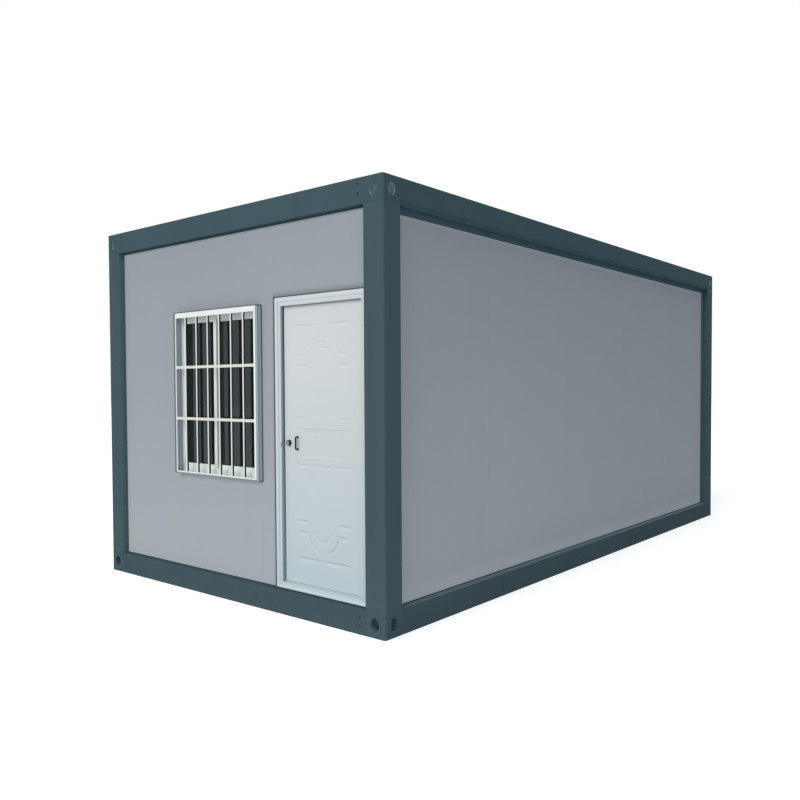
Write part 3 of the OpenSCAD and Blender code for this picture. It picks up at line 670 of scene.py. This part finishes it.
# The door frame's faces that look along X are darker, painted shade, and its front is lighter near the foot, painted
# light.
DOOR_FRAME_PAINT = paint("door_frame_paint", rgb(205, 211, 214), foot=rgb(188, 203, 210),
                         layers=[(sideways_light_and_shade, rgb(158, 172, 178)),
                                 (painted_border_light, rgb(236, 244, 247), 0.0, 0.6, 0.0, 0.0)], **DOOR)
LOCK_METAL = paint("lock_metal", rgb(34, 48, 55), 0.4, tone=0.1, scuff=0.25, metallic=0.1, specular=0.25)
ZINC = paint("zinc_plate", rgb(136, 148, 154), 0.4, tone=0.1, grain=0.1, scuff=0.3, metallic=0.35, specular=0.3)
RUBBER = paint("black_rubber", rgb(34, 38, 40), 0.62, tone=0.08, grain=0.05, bump=0.3, dust_and_ledge_light=0.15, dust_top=0.8,
               specular=0.2)
# The grey gasket darkens up towards the frame's head: painted shade.
GASKET = paint("grey_gasket", rgb(98, 110, 118), 0.62, tone=0.06, grain=0.05, bump=0.3, specular=0.1,
               foot=rgb(142, 160, 170), foot_z=0.3, head_z=2.0)
SEAL_LIP = paint("seal_lip", rgb(196, 208, 214), 0.6, tone=0.04, grain=0.04, bump=0.2, specular=0.1)

PLASTIC = paint("window_plastic", rgb(254, 255, 255), 0.36, tone=0.012, grain=0.01, bump=0.04, specular=0.3,
                foot=rgb(228, 237, 236), foot_z=0.93, head_z=1.02)
GLASS = glass()
# The guard's sideways faces are painted shade, and a painted shade line runs along its left and bottom edges and on its
# bottom plate.
GUARD_PAINT = paint("guard_paint", rgb(234, 239, 239), 0.42, tone=0.02, scuff=0.1, specular=0.2,
                    layers=[(guard_painted_side_shade, rgb(176, 191, 199), rgb(56, 66, 72), rgb(218, 216, 205),
                             rgb(214, 226, 232)), (guard_rim_shade, rgb(100, 110, 116))])
ANGLE_PAINT = paint("guard_angle_paint", rgb(92, 102, 108), 0.5, tone=0.04, scuff=0.2, bump=0.15, specular=0.1)


def starting(*starts):
    return [name for name in nodes if name.startswith(starts)]


dress(ROOF_BEAM_PAINT, *starting("roof_beam"), bevel=1.0)
dress(POST_PAINT, *starting("post_"), bevel=1.0)
dress(BASE_BEAM_PAINT, *starting("base_beam"), bevel=1.0)
dress(BASE_CORNER_PAINT, *starting("base_corner"), bevel=1.0)
dress(ROOF_CORNER_PAINT, *starting("roof_corner"), bevel=1.0)
dress(TRIM_PAINT, "wall_head_trims", bevel=0.4)
dress(JOIST_PAINT, "floor_joists", "roof_joists", bevel=1.0)
dress(WALL_SKIN, "left_wall", "right_wall", "rear_wall", *starting("front_wall"), bevel=0.8)
dress(ROOF_SKIN, "roof_sheet", bevel=0.8)
dress(CEILING, "ceiling", bevel=0.8)
dress(FLOOR_BOARD, "floor_board", bevel=0.8)
dress(DOOR_FRAME_PAINT, "door_frame", bevel=1.2)
dress(DOOR_PAINT, "door_hinge_pins", "door_hinge_barrels")
dress(PLASTIC, "window_frame", "window_sash_left", "window_sash_right", bevel=1.2)
dress(GLASS, "window_panes")
dress(GUARD_PAINT, "window_guard")


# -------- the door leaf, with its pressed figures
# A line is its two ends, across from the leaf's middle, and its height. A pair is mirrored. An arch is its radius, its
# centre's height, how far its ends stay from that height, and whether it arches up.
PRESSED_PAIRS = ((62, 235, 1916), (136, 218, 1725), (138, 235, 1652), (165, 218, 1309), (112, 235, 1001),
                 (138, 235, 633), (136, 218, 560), (20, 235, 386))
PRESSED_LINES = ((-235, 235, 1236), (-75, 75, 1001))
PRESSED_ARCHES = ((146, 1697, 28, True), (72, 1697, 58, True), (146, 588, 28, False), (72, 588, 18, False))
PRESSED_REACH = 262
LOWER_FIGURES = 800
STROKE_STEP = 4.0
GROOVE_DEPTH = 3.4
RAIL_HALF_WIDTH, RAIL_FOOT, RAIL_HEAD, RAIL_DEPTH = 205, 1051, 1236, 4.6
LEAF_EDGE = 2.0


def pressed_strokes():
    """All the pressed lines and arches, each as a row of points (across, height)."""
    def line(x0, x1, z):
        count = max(2, round(abs(x1 - x0) / STROKE_STEP) + 1)
        return [(x0 + (x1 - x0) * k / (count - 1), z) for k in range(count)]

    def arch(radius, centre_z, reach, up):
        lean = math.asin(max(-1, min(1, reach / radius)))
        count = round(radius * (math.pi - 2 * lean) / STROKE_STEP)
        turns = [lean + (math.pi - 2 * lean) * k / (count - 1) for k in range(count)]
        return [(radius * math.cos(t), centre_z + (radius if up else -radius) * math.sin(t)) for t in turns]

    strokes = []
    for x0, x1, z in PRESSED_PAIRS:
        strokes += [line(x0, x1, z), line(-x1, -x0, z)]
    strokes += [line(*row) for row in PRESSED_LINES] + [arch(*row) for row in PRESSED_ARCHES]
    return [np.array(stroke) for stroke in strokes]


def pressed_depth(strokes, across, height):
    """How deep the skin lies at each place. Each stroke is a soft groove, and the lock rail is a panel pressed in."""
    depth = np.zeros_like(across)
    for points in strokes:
        start_z, foot, head = points[0, 1], points[:, 1].min(), points[:, 1].max()
        steps = np.arange(len(points))
        from_end = np.minimum(steps, steps[::-1]) * STROKE_STEP
        strength = 0.4 + 0.6 * np.clip(from_end / 14, 0, 1)
        if head - foot > 80:
            # A large arch fades out at its crown.
            strength *= np.clip((abs(points[:, 0]) - 32) / 30, 0.06, 1)
        elif head - foot > 20 and start_z < LOWER_FIGURES:
            strength *= 0.5
        near = (height > foot - 30) & (height < head + 18) & (abs(across) < PRESSED_REACH)
        gx, gz = across[near], height[near]
        distance = np.hypot(gx[:, None] - points[:, 0], gz[:, None] - points[:, 1])
        best = distance.argmin(1)
        d = distance[np.arange(len(gx)), best]
        # The slope below a stroke is longer than the one above it.
        reach, lean, share = (18, 9, 2.1) if start_z < LOWER_FIGURES else (16, 6, 1.0)
        soft = reach - lean * (gz - points[best, 1]) / np.maximum(d, 0.01)
        dip = (0.5 + 0.5 * np.cos(np.pi * np.clip(d / soft, 0, 1))) * strength[best]
        depth[near] = np.maximum(depth[near], dip * GROOVE_DEPTH * share)

    def rise(inwards, slope):
        return 0.5 - 0.5 * np.cos(np.pi * np.clip(inwards / slope, 0, 1))

    panel = rise(height - RAIL_FOOT, 14) * rise(RAIL_HEAD - height, 14) * rise(RAIL_HALF_WIDTH - abs(across), 30)
    return np.maximum(depth, panel * RAIL_DEPTH)


def ticks(start, end, fine, zones, coarse):
    """Grid places from start to end, close together inside the zones."""
    places = [start]
    while places[-1] < end - 0.01:
        p = places[-1]
        step = fine if any(a - 1 <= p < b for a, b in zones) else coarse
        ahead = [a for a, b in zones if p < a < p + step]
        places.append(min([end, p + step] + ahead))
    return places


def door_leaf():
    """A folded steel skin, pressed at the front and flat at the back. Returns the depth of its face."""
    low, high = box_mm("door_leaf")
    middle = (low.x + high.x) / 2
    strokes = pressed_strokes()
    xs = ticks(low.x + LEAF_EDGE, high.x - LEAF_EDGE, 4.5, [(middle - PRESSED_REACH, middle + PRESSED_REACH)], 14)
    zones = sorted((s[:, 1].min() - 30, s[:, 1].max() + 20) for s in strokes)
    zs = ticks(low.z + LEAF_EDGE, high.z - LEAF_EDGE, 3.0, zones + [(RAIL_FOOT - 11, RAIL_FOOT + 15)], 16)
    grid_x, grid_z = np.meshgrid(np.array(xs), np.array(zs))
    depth = pressed_depth(strokes, grid_x - middle, grid_z)

    rows, columns = grid_x.shape
    front = [(grid_x[r, c], low.y + depth[r, c], grid_z[r, c]) for r in range(rows) for c in range(columns)]

    def at(r, c):
        return r * columns + c

    faces = [(at(r, c), at(r, c + 1), at(r + 1, c + 1), at(r + 1, c))
             for r in range(rows - 1) for c in range(columns - 1)]
    rim = [at(0, c) for c in range(columns)] + [at(r, columns - 1) for r in range(1, rows)]
    rim += [at(rows - 1, c) for c in range(columns - 2, -1, -1)] + [at(r, 0) for r in range(rows - 2, 0, -1)]

    def pushed(value, least, most):
        """A rim point's place along one axis, carried out to the leaf's edge if it is next to it."""
        near = LEAF_EDGE + 0.1
        return least if value < least + near else most if value > most - near else value

    outline = [(pushed(front[v][0], low.x, high.x), pushed(front[v][2], low.z, high.z)) for v in rim]
    verts = list(front)
    rings = [rim]
    for y, places in ((low.y + LEAF_EDGE, outline), (high.y - LEAF_EDGE, outline),
                      (high.y, [(front[v][0], front[v][2]) for v in rim])):
        rings.append(list(range(len(verts), len(verts) + len(rim))))
        verts += [(x, y, z) for x, z in places]
    for a, b in zip(rings, rings[1:]):
        for k in range(len(rim)):
            m = (k + 1) % len(rim)
            faces.append((a[k], a[m], b[m], b[k]))
    faces.append(tuple(rings[-1]))
    skin = Shape()
    skin.add(verts, faces)
    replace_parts(skin.make("door_leaf_skin", DOOR_PAINT, "door", "door_paint"), "door_leaf")
    return low.y


# -------- the frame's own small parts
CORNERS = [(sx, sy) for sx in (1, -1) for sy in (-1, 1)]
ROUND = ((1, -1), (1, 1), (-1, 1), (-1, -1))
SLOT_HOLE, SLOT_RIM = (66, 80), (82, 96)
SLOT_FROM_EDGE, SLOT_DEPTH, BLOCK_SHELL = 84, 34, 5
BASE_SLOT_Z, ROOF_SLOT_Z = 80, 2690
SPLICE_FROM_SIDE, SPLICE_HEIGHTS = 205, (50, 110, 2674, 2734)

# Where the walls' folded trims lie: from the skin out to their face, and between the posts and the beams.
END_TRIM, SIDE_TRIM = (2884.7, 2886.6), (1441.7, 1443.6)
POST_X, POST_Y = 1341.8, 2766.8
STRIP_X, STRIP_Y = 1318, 2709
TRIM_FOOT, END_TRIM_HEAD, SIDE_TRIM_HEAD = 160.2, 2596.8, 2564.8
ABOVE_DOOR = 2119.2
BESIDE_DOOR = 488


def corner_fittings():
    """A pressed ring welded inside each oval hole of the corner blocks."""
    hole, rim = oval(*SLOT_HOLE), oval(*SLOT_RIM)
    for name, z, finish in (("base", BASE_SLOT_Z, BASE_SLOT), ("roof", ROOF_SLOT_Z, ROOF_SLOT)):
        rings = Shape()
        for sx, sy in CORNERS:
            x, y = sx * (HALF_WIDTH - SLOT_FROM_EDGE), sy * (HALF_LENGTH - SLOT_FROM_EDGE)
            on_end = [[(x + a, sy * (HALF_LENGTH - BLOCK_SHELL), z + b) for a, b in line] for line in (rim, hole)]
            on_side = [[(sx * (HALF_WIDTH - BLOCK_SHELL), y + a, z + b) for a, b in line] for line in (rim, hole)]
            for outlines, inward in ((on_end, Vector((0, -sy, 0))), (on_side, Vector((-sx, 0, 0)))):
                rings.ring(*outlines, inward * -0.5, inward * SLOT_DEPTH)
        rings.make(name + "_corner_slot_rings", finish, "cabin", "frame_steel")


def spread(reach, count):
    """So many places, evenly from -reach to reach."""
    return [-reach + k * 2 * reach / (count - 1) for k in range(count)]


def splice_nuts():
    """Blind weld nuts behind the splice holes of the end beams."""
    nuts = Shape()
    profile = [(0, 0), (12, 0), (12, 9), (11, 10), (8.6, 10), (8.6, 17), (7.6, 18), (0, 18)]
    for sy, sx, z in product((-1, 1), (-1, 1), SPLICE_HEIGHTS):
        nuts.turned((sx * (HALF_WIDTH - SPLICE_FROM_SIDE), sy * (HALF_LENGTH - 3.2), z), (0, -sy, 0), profile, 6)
    nuts.make("splice_weld_nuts", NUT_PAINT, "cabin", "frame_steel")


def trim_rivets():
    """Rivets that hold the angles under the roof beams to the wall's skin."""
    rivets = Shape()
    for side in (1, -1):
        for y in spread(2667, 12):
            rivets.rivet((side * 1444, y, 2586), (side, 0, 0), 4)
        for x in spread(1240, 6):
            rivets.rivet((x, side * 2887, 2602.5), (0, side, 0), 3)
    rivets.make("head_trim_rivets", TRIM_PAINT, "cabin", "frame_steel")


def wall_edge_trims():
    """Folded strips where the walls meet the posts, and low ones on the base beams and the door frame's foot."""
    strips, feet = Shape(), Shape()
    for sy in (-1, 1):
        face, proud = sorted(sy * y for y in END_TRIM)
        for sx in (-1, 1):
            foot = ABOVE_DOOR if (sx, sy) == (1, -1) else TRIM_FOOT
            x0, x1 = sorted((sx * POST_X, sx * STRIP_X))
            strips.block((x0, face, foot), (x1, proud, END_TRIM_HEAD), 0.4)
        feet.block((-STRIP_X, face, TRIM_FOOT), (BESIDE_DOOR if sy < 0 else STRIP_X, proud, 168), 0.4)
    for sx in (-1, 1):
        face, proud = sorted(sx * x for x in SIDE_TRIM)
        for sy in (-1, 1):
            y0, y1 = sorted((sy * POST_Y, sy * STRIP_Y))
            strips.block((face, y0, TRIM_FOOT), (proud, y1, SIDE_TRIM_HEAD), 0.4)
        feet.block((face, -STRIP_Y, TRIM_FOOT), (proud, STRIP_Y, 166.5), 0.4)
    feet.block((511.8, -2901.6, TRIM_FOOT), (1341.4, -2896, 169.5), 0.4)
    strips.make("wall_edge_trims", EDGE_PAINT, "cabin", "frame_steel")
    feet.make("wall_foot_trims", FOOT_PAINT, "cabin", "frame_steel")


def roof_sealant():
    """A bead of sealant along the inner edge of the roof beams' top flanges."""
    x, y, z = 1430, 2862, box_mm("roof_sheet")[0].z + 4
    section = [(-1, 0), (7, 0), (5.6, 2.6), (2.4, 5.4), (-1, 7)]
    bead = Shape()
    bead.swept([((sx * x, sy * y, z), (-sx, -sy, 0), (0, 0, 1)) for sx, sy in ROUND], section, closed=True)
    bead.make("roof_edge_sealant", SEALANT, "cabin", "roof_skin")


# -------- the door's parts
JAMB_LEFT, JAMB_RIGHT, SILL_Z, HEAD_Z = 568.5, 1293.5, 210, 2054
LOCK_X, LOCK_Z, HANDLE_X = 620.5, 1145.0, 700.5
HINGE_X, HINGE_Y, HINGE_HEIGHTS = 1284.5, -2880.0, (415, 1132, 1849)


def rectangle(x0, x1, z0, z1):
    return [(x0, 0, z0), (x1, 0, z0), (x1, 0, z1), (x0, 0, z1)]


def door_frame_trim(face_y):
    """The rolled profile of the door frame's face, mitred at the corners."""
    section = [(0.0, -0.6), (0.0, 3.2), (0.02, 3.8), (0.48, 3.8), (0.51, 3.2), (0.55, 0.4), (0.60, 0.2), (0.65, 1.8),
               (0.69, 2.4), (0.76, 2.4), (0.79, 2.0), (0.83, 0.5), (0.86, 0.3), (0.90, 2.4), (0.92, 2.8), (0.97, 2.8),
               (1.0, 2.2), (1.0, -0.6)]
    trim = Shape()
    outer, inner = rectangle(511.5, 1341.5, 160, 2110), rectangle(JAMB_LEFT, JAMB_RIGHT, SILL_Z, HEAD_Z)
    trim.swept([((a[0], face_y, a[2]), Vector(b) - Vector(a), FORWARD) for a, b in zip(outer, inner)],
               section, closed=True)
    trim.make("door_frame_profile", DOOR_FRAME_PAINT, "cabin", "door_paint")


def door_gaskets():
    """Sealing strips on both jambs' reveals, and lips over and under the leaf."""
    strips, lips = Shape(), Shape()
    strips.block((568.2, -2881, SILL_Z), (571, -2834, HEAD_Z), 0.8)
    strips.block((1292, -2866, SILL_Z), (1293.8, -2828, HEAD_Z), 0.5)
    strips.make("door_gaskets", GASKET, "cabin", "door_paint")
    for z0, z1 in ((2051.2, 2054.2), (209.8, 213)):
        lips.block((571, -2870, z0), (1292, -2834, z1), 0.4)
    lips.make("door_seal_lips", SEAL_LIP, "cabin", "door_paint")


def door_handle(face_y):
    """A bow of square bar with eased corners on two small flanges."""
    root, front = face_y + 0.5, face_y - 20
    z0, z1 = LOCK_Z - 40, LOCK_Z + 40
    bend, steps, right = 7, 6, (1, 0, 0)
    path = [((HANDLE_X, root, z0), right, (0, 0, -1))]
    for centre_z, start in ((z0 + bend, -math.pi / 2), (z1 - bend, 0)):
        for k in range(steps + 1):
            t = start + math.pi / 2 * k / steps
            out = (0, -math.cos(t), math.sin(t))
            path.append(((HANDLE_X, front + bend + bend * out[1], centre_z + bend * out[2]), right, out))
    path.append(((HANDLE_X, root, z1), right, (0, 0, 1)))
    r, c = 5.0, 3.4
    bow = Shape()
    bow.swept(path, [(-r, -c), (-c, -r), (c, -r), (r, -c), (r, c), (c, r), (-c, r), (-r, c)])
    for z in (z0, z1):
        bow.turned((HANDLE_X, face_y, z), FORWARD, [(0, -0.3), (8.5, -0.3), (8.5, 1.2), (7.6, 2), (0, 2)], 24)
    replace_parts(bow.make("door_pull_bow", LOCK_METAL, "door", "lock_metal"), "door_pull_handle")


def door_lock(face_y):
    """The lock's rose and short round knob with a key plug, and its edge plate and latch."""
    at = (LOCK_X, face_y, LOCK_Z)
    knob = Shape()
    knob.turned(at, FORWARD, [
        (0, -0.3), (20, -0.3), (20, 2.2), (19.4, 3.4), (18, 4), (14.6, 4), (14, 4.6), (14, 6.6), (16.4, 7.4),
        (17.7, 8.4), (18, 9.8), (18, 15.2), (17.6, 16.8), (16.4, 17.8), (14.8, 18), (9.6, 18), (9, 17.2), (0, 17.2)],
        40)
    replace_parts(knob.make("door_lock_collar", LOCK_METAL, "door", "lock_metal"), "door_lock_knob")
    face = Shape()
    face.turned(at, FORWARD, [(0, 17), (12.5, 17), (12.5, 18.1), (11.6, 18.5), (8.4, 18.5), (8, 18.1), (0, 18.1)], 32)
    face.make("door_lock_face", ZINC, "door", "lock_metal")
    slot = Shape()
    slot.block((LOCK_X - 1, face_y - 18.2, LOCK_Z - 5), (LOCK_X + 1, face_y - 17.8, LOCK_Z + 5), 0.02)
    slot.make("door_lock_key_slot", RUBBER, "door", "lock_metal")
    edge = Shape()
    edge.block((575.4, face_y + 9, LOCK_Z - 78), (577, face_y + 31, LOCK_Z + 78), 0.4)
    edge.block((572.2, face_y + 13, LOCK_Z - 9), (576.5, face_y + 27, LOCK_Z + 9), 0.8)
    for z in (LOCK_Z - 66, LOCK_Z + 66):
        edge.turned((575.5, face_y + 20, z), (-1, 0, 0), [(0, -0.3), (4, -0.3), (4, 0.1), (3, 0.5), (0, 0.5)], 16)
    edge.make("door_lock_edge_plate", ZINC, "door", "lock_metal")


def lock_keeper():
    """The keeper on the jamb, and a filled screw hole above it."""
    keeper = Shape()
    z0, z1 = LOCK_Z - 30, LOCK_Z + 4
    keeper.block((556, -2895.6, z0), (570, -2892.6, z1), 0.5)
    keeper.block((568.4, -2895.6, z0), (571.6, -2862, z1), 0.5)
    for z in (z0 + 8, z1 - 8):
        keeper.turned((562, -2895.4, z), FORWARD, [(0, -0.3), (3, -0.3), (3, 0.3), (2, 0.9), (0, 0.9)], 16)
    keeper.make("door_lock_keeper", ZINC, "cabin", "lock_metal")
    plug = Shape()
    plug.turned((525, -2894.6, 1173), FORWARD, [(0, -0.3), (2.6, -0.3), (2.6, 0.2), (0, 0.2)], 16)
    plug.make("door_frame_screw_hole", RUBBER, "cabin", "door_paint")


def hinge_caps():
    """Rounded ends on the hinges' barrels."""
    r = 8.0
    dome = [(0, -0.3), (r, -0.3), (r, 0.2), (0.92 * r, 1.4), (0.7 * r, 2.5), (0.4 * r, 3.2), (0, 3.4)]
    still, moving = Shape(), Shape()
    for z in HINGE_HEIGHTS:
        still.turned((HINGE_X, HINGE_Y, z - 60), (0, 0, -1), dome, 28)
        moving.turned((HINGE_X, HINGE_Y, z + 61), (0, 0, 1), dome, 28)
    still.make("door_hinge_feet", DOOR_PAINT, "cabin", "hinge_steel")
    moving.make("door_hinge_tops", DOOR_PAINT, "door", "hinge_steel")


# -------- the window's parts
WALL_FACE = -2885.6


def frame_ring(shape, low, high, grow, width, y0, y1):
    """A flat ring round the rectangle from low to high, grown by a margin, and filled in by width, from y0 to y1."""
    outlines = [rectangle(low.x - m, high.x + m, low.z - m, high.z + m) for m in (grow, grow - width)]
    shape.ring(*outlines, (0, y0, 0), (0, y1, 0))


def window_parts():
    """The panes' seals, the tracks the sashes run in, the drains' covers and the latch where the sashes meet."""
    left_low, left_high = box_mm("window_sash_left")
    right_low, right_high = box_mm("window_sash_right")
    seals = Shape()
    for low, high in ((left_low, left_high), (right_low, right_high)):
        middle = (low.y + high.y) / 2
        for y0, y1 in ((middle - 5.5, middle - 2), (middle + 2, middle + 5.5)):
            frame_ring(seals, low, high, -29.5, 4.5, y0, y1)
    seals.block((right_low.x + 2, left_high.y + 0.4, right_low.z + 6),
                (right_low.x + 8, right_low.y + 0.3, right_high.z - 6), 0.5)
    seals.make("window_seals", RUBBER, "cabin", "window_plastic")

    rails = Shape()
    for y, x0, x1 in (((left_low.y + left_high.y) / 2, left_high.x, right_high.x),
                      ((right_low.y + right_high.y) / 2, left_low.x, right_low.x)):
        rails.block((x0, y - 2, left_low.z - 0.5), (x1, y + 2, left_low.z + 7), 0.8)
        rails.block((x0, y - 2, left_high.z - 7), (x1, y + 2, left_high.z + 0.5), 0.8)
    low, high = box_mm("window_frame")
    for x in (low.x + 150, high.x - 150):
        rails.block((x - 17, low.y - 2.4, low.z + 14), (x + 17, low.y + 0.5, low.z + 22), 1.0)
    rails.make("window_track_rails", PLASTIC, "cabin", "window_plastic")

    latch = Shape()
    x, y, z = (right_low.x + left_high.x) / 2, right_high.y, (right_low.z + right_high.z) / 2
    latch.block((x - 8, y - 0.5, z - 38), (x + 8, y + 2.5, z + 38), 0.8)
    latch.turned((x, y + 2.2, z), (0, 1, 0), [(0, 0), (9, 0), (9, 2.6), (8, 3.6), (0, 3.6)], 24)
    latch.block((x - 3.5, y + 3, z - 2), (x + 3.5, y + 6.8, z + 30), 1.2)
    latch.make("window_latch", PLASTIC, "cabin", "window_plastic")


def guard_parts():
    """The welds on the guard's bars, the screws in its side plates, its seam, and its fixing angle on the wall."""
    low, high = box_mm("window_guard")
    bars = 6
    pitch = (high.x - low.x) / (bars + 1)
    foot = [(0, -0.4), (11.8, -0.4), (11.6, 0.8), (10.9, 2.0), (9.9, 3.0), (0, 3.0)]
    places = [(low.z + GUARD_FOOT / MM, 1), (high.z - GUARD_HEAD / MM, -1)]
    for cross_z in (low.z + 412, low.z + 792):
        places += [(cross_z + 10, 1), (cross_z - 10, -1)]
    beads = Shape()
    for k in range(1, bars + 1):
        for z, up in places:
            beads.turned((low.x + k * pitch, low.y + 8.5, z), (0, 0, up), foot, 4, math.pi / 4)
    beads.make("guard_weld_beads", GUARD_PAINT, "cabin", "guard_paint")
    screws = Shape()
    for z in (low.z + 160, (low.z + high.z) / 2, high.z - 160):
        for x, way in ((low.x + 3, 1), (high.x - 3, -1)):
            screws.screw((x, high.y - 22, z), (way, 0, 0), 4)
    screws.make("guard_screws", GUARD_PAINT, "cabin", "guard_paint")
    seam = Shape()
    frame_ring(seam, low, high, 0.6, 1.0, -2917.5, -2914.5)
    seam.make("guard_seam", ANGLE_PAINT, "cabin", "guard_paint")
    angle = Shape()
    angle.block((low.x - 14, low.y + 1.5, low.z + 0.5), (low.x - 0.4, WALL_FACE, high.z - 1), 0.6)
    angle.block((low.x - 14, low.y + 1.5, high.z + 0.4), (high.x, WALL_FACE, high.z + 8), 0.6)
    angle.make("guard_fixing_angle", ANGLE_PAINT, "cabin", "guard_paint")


def sealant_lines():
    """Thin joints of grey sealant round the guard and the door frame, on the wall's skin."""
    bead = Shape()
    frame_ring(bead, *box_mm("window_guard"), 9, 9.4, -2886.4, -2884.6)
    bead.block((BESIDE_DOOR, -2886.2, 160.5), (511.8, -2884.6, 2119), 0.4)
    bead.block((BESIDE_DOOR, -2886.2, 2109.6), (1341.5, -2884.6, 2119), 0.4)
    bead.make("wall_joint_sealant", SEALANT, "cabin", "wall_sheet")


# -------- inside
def room_trims():
    """Cover strips over the ceiling's board joints, and a small cove bead round the room's head and foot."""
    strips = Shape()
    under = box_mm("ceiling")[0].z
    places = sorted({round(v.co.y / MM, 1) for v in nodes["ceiling"].data.vertices})
    for a, b in zip(places, places[1:]):
        if 0 < b - a < 6:
            joint = (a + b) / 2
            strips.block((-1388, joint - 15, under - 2.2), (1388, joint + 15, under + 0.2), 0.8)
    section = [(-0.5, -0.5), (14, -0.5), (10, 2.2), (5.5, 5.5), (2.2, 10), (-0.5, 14)]
    x, y = 1392, 2835
    for z, up in ((175, (0, 0, 1)), (2610, (0, 0, -1))):
        path = [((sx * x, sy * y, z), (-sx, -sy, 0), up) for sx, sy in ROUND]
        if z > 2000:
            strips.swept(path, section, closed=True)
        else:
            # The foot's bead ends beside the door.
            for a, b in zip(path, path[1:]):
                strips.swept([a, b], section)
            strips.swept([path[-1], ((505, -y, z), (0, 1, 0), up)], section)
    strips.make("room_cover_strips", PLASTIC, "cabin", "ceiling_sheet")


corner_fittings()
splice_nuts()
trim_rivets()
wall_edge_trims()
roof_sealant()
leaf_face = door_leaf()
door_frame_trim(box_mm("door_frame")[0].y)
door_gaskets()
door_handle(leaf_face)
door_lock(leaf_face)
lock_keeper()
hinge_caps()
window_parts()
guard_parts()
sealant_lines()
room_trims()
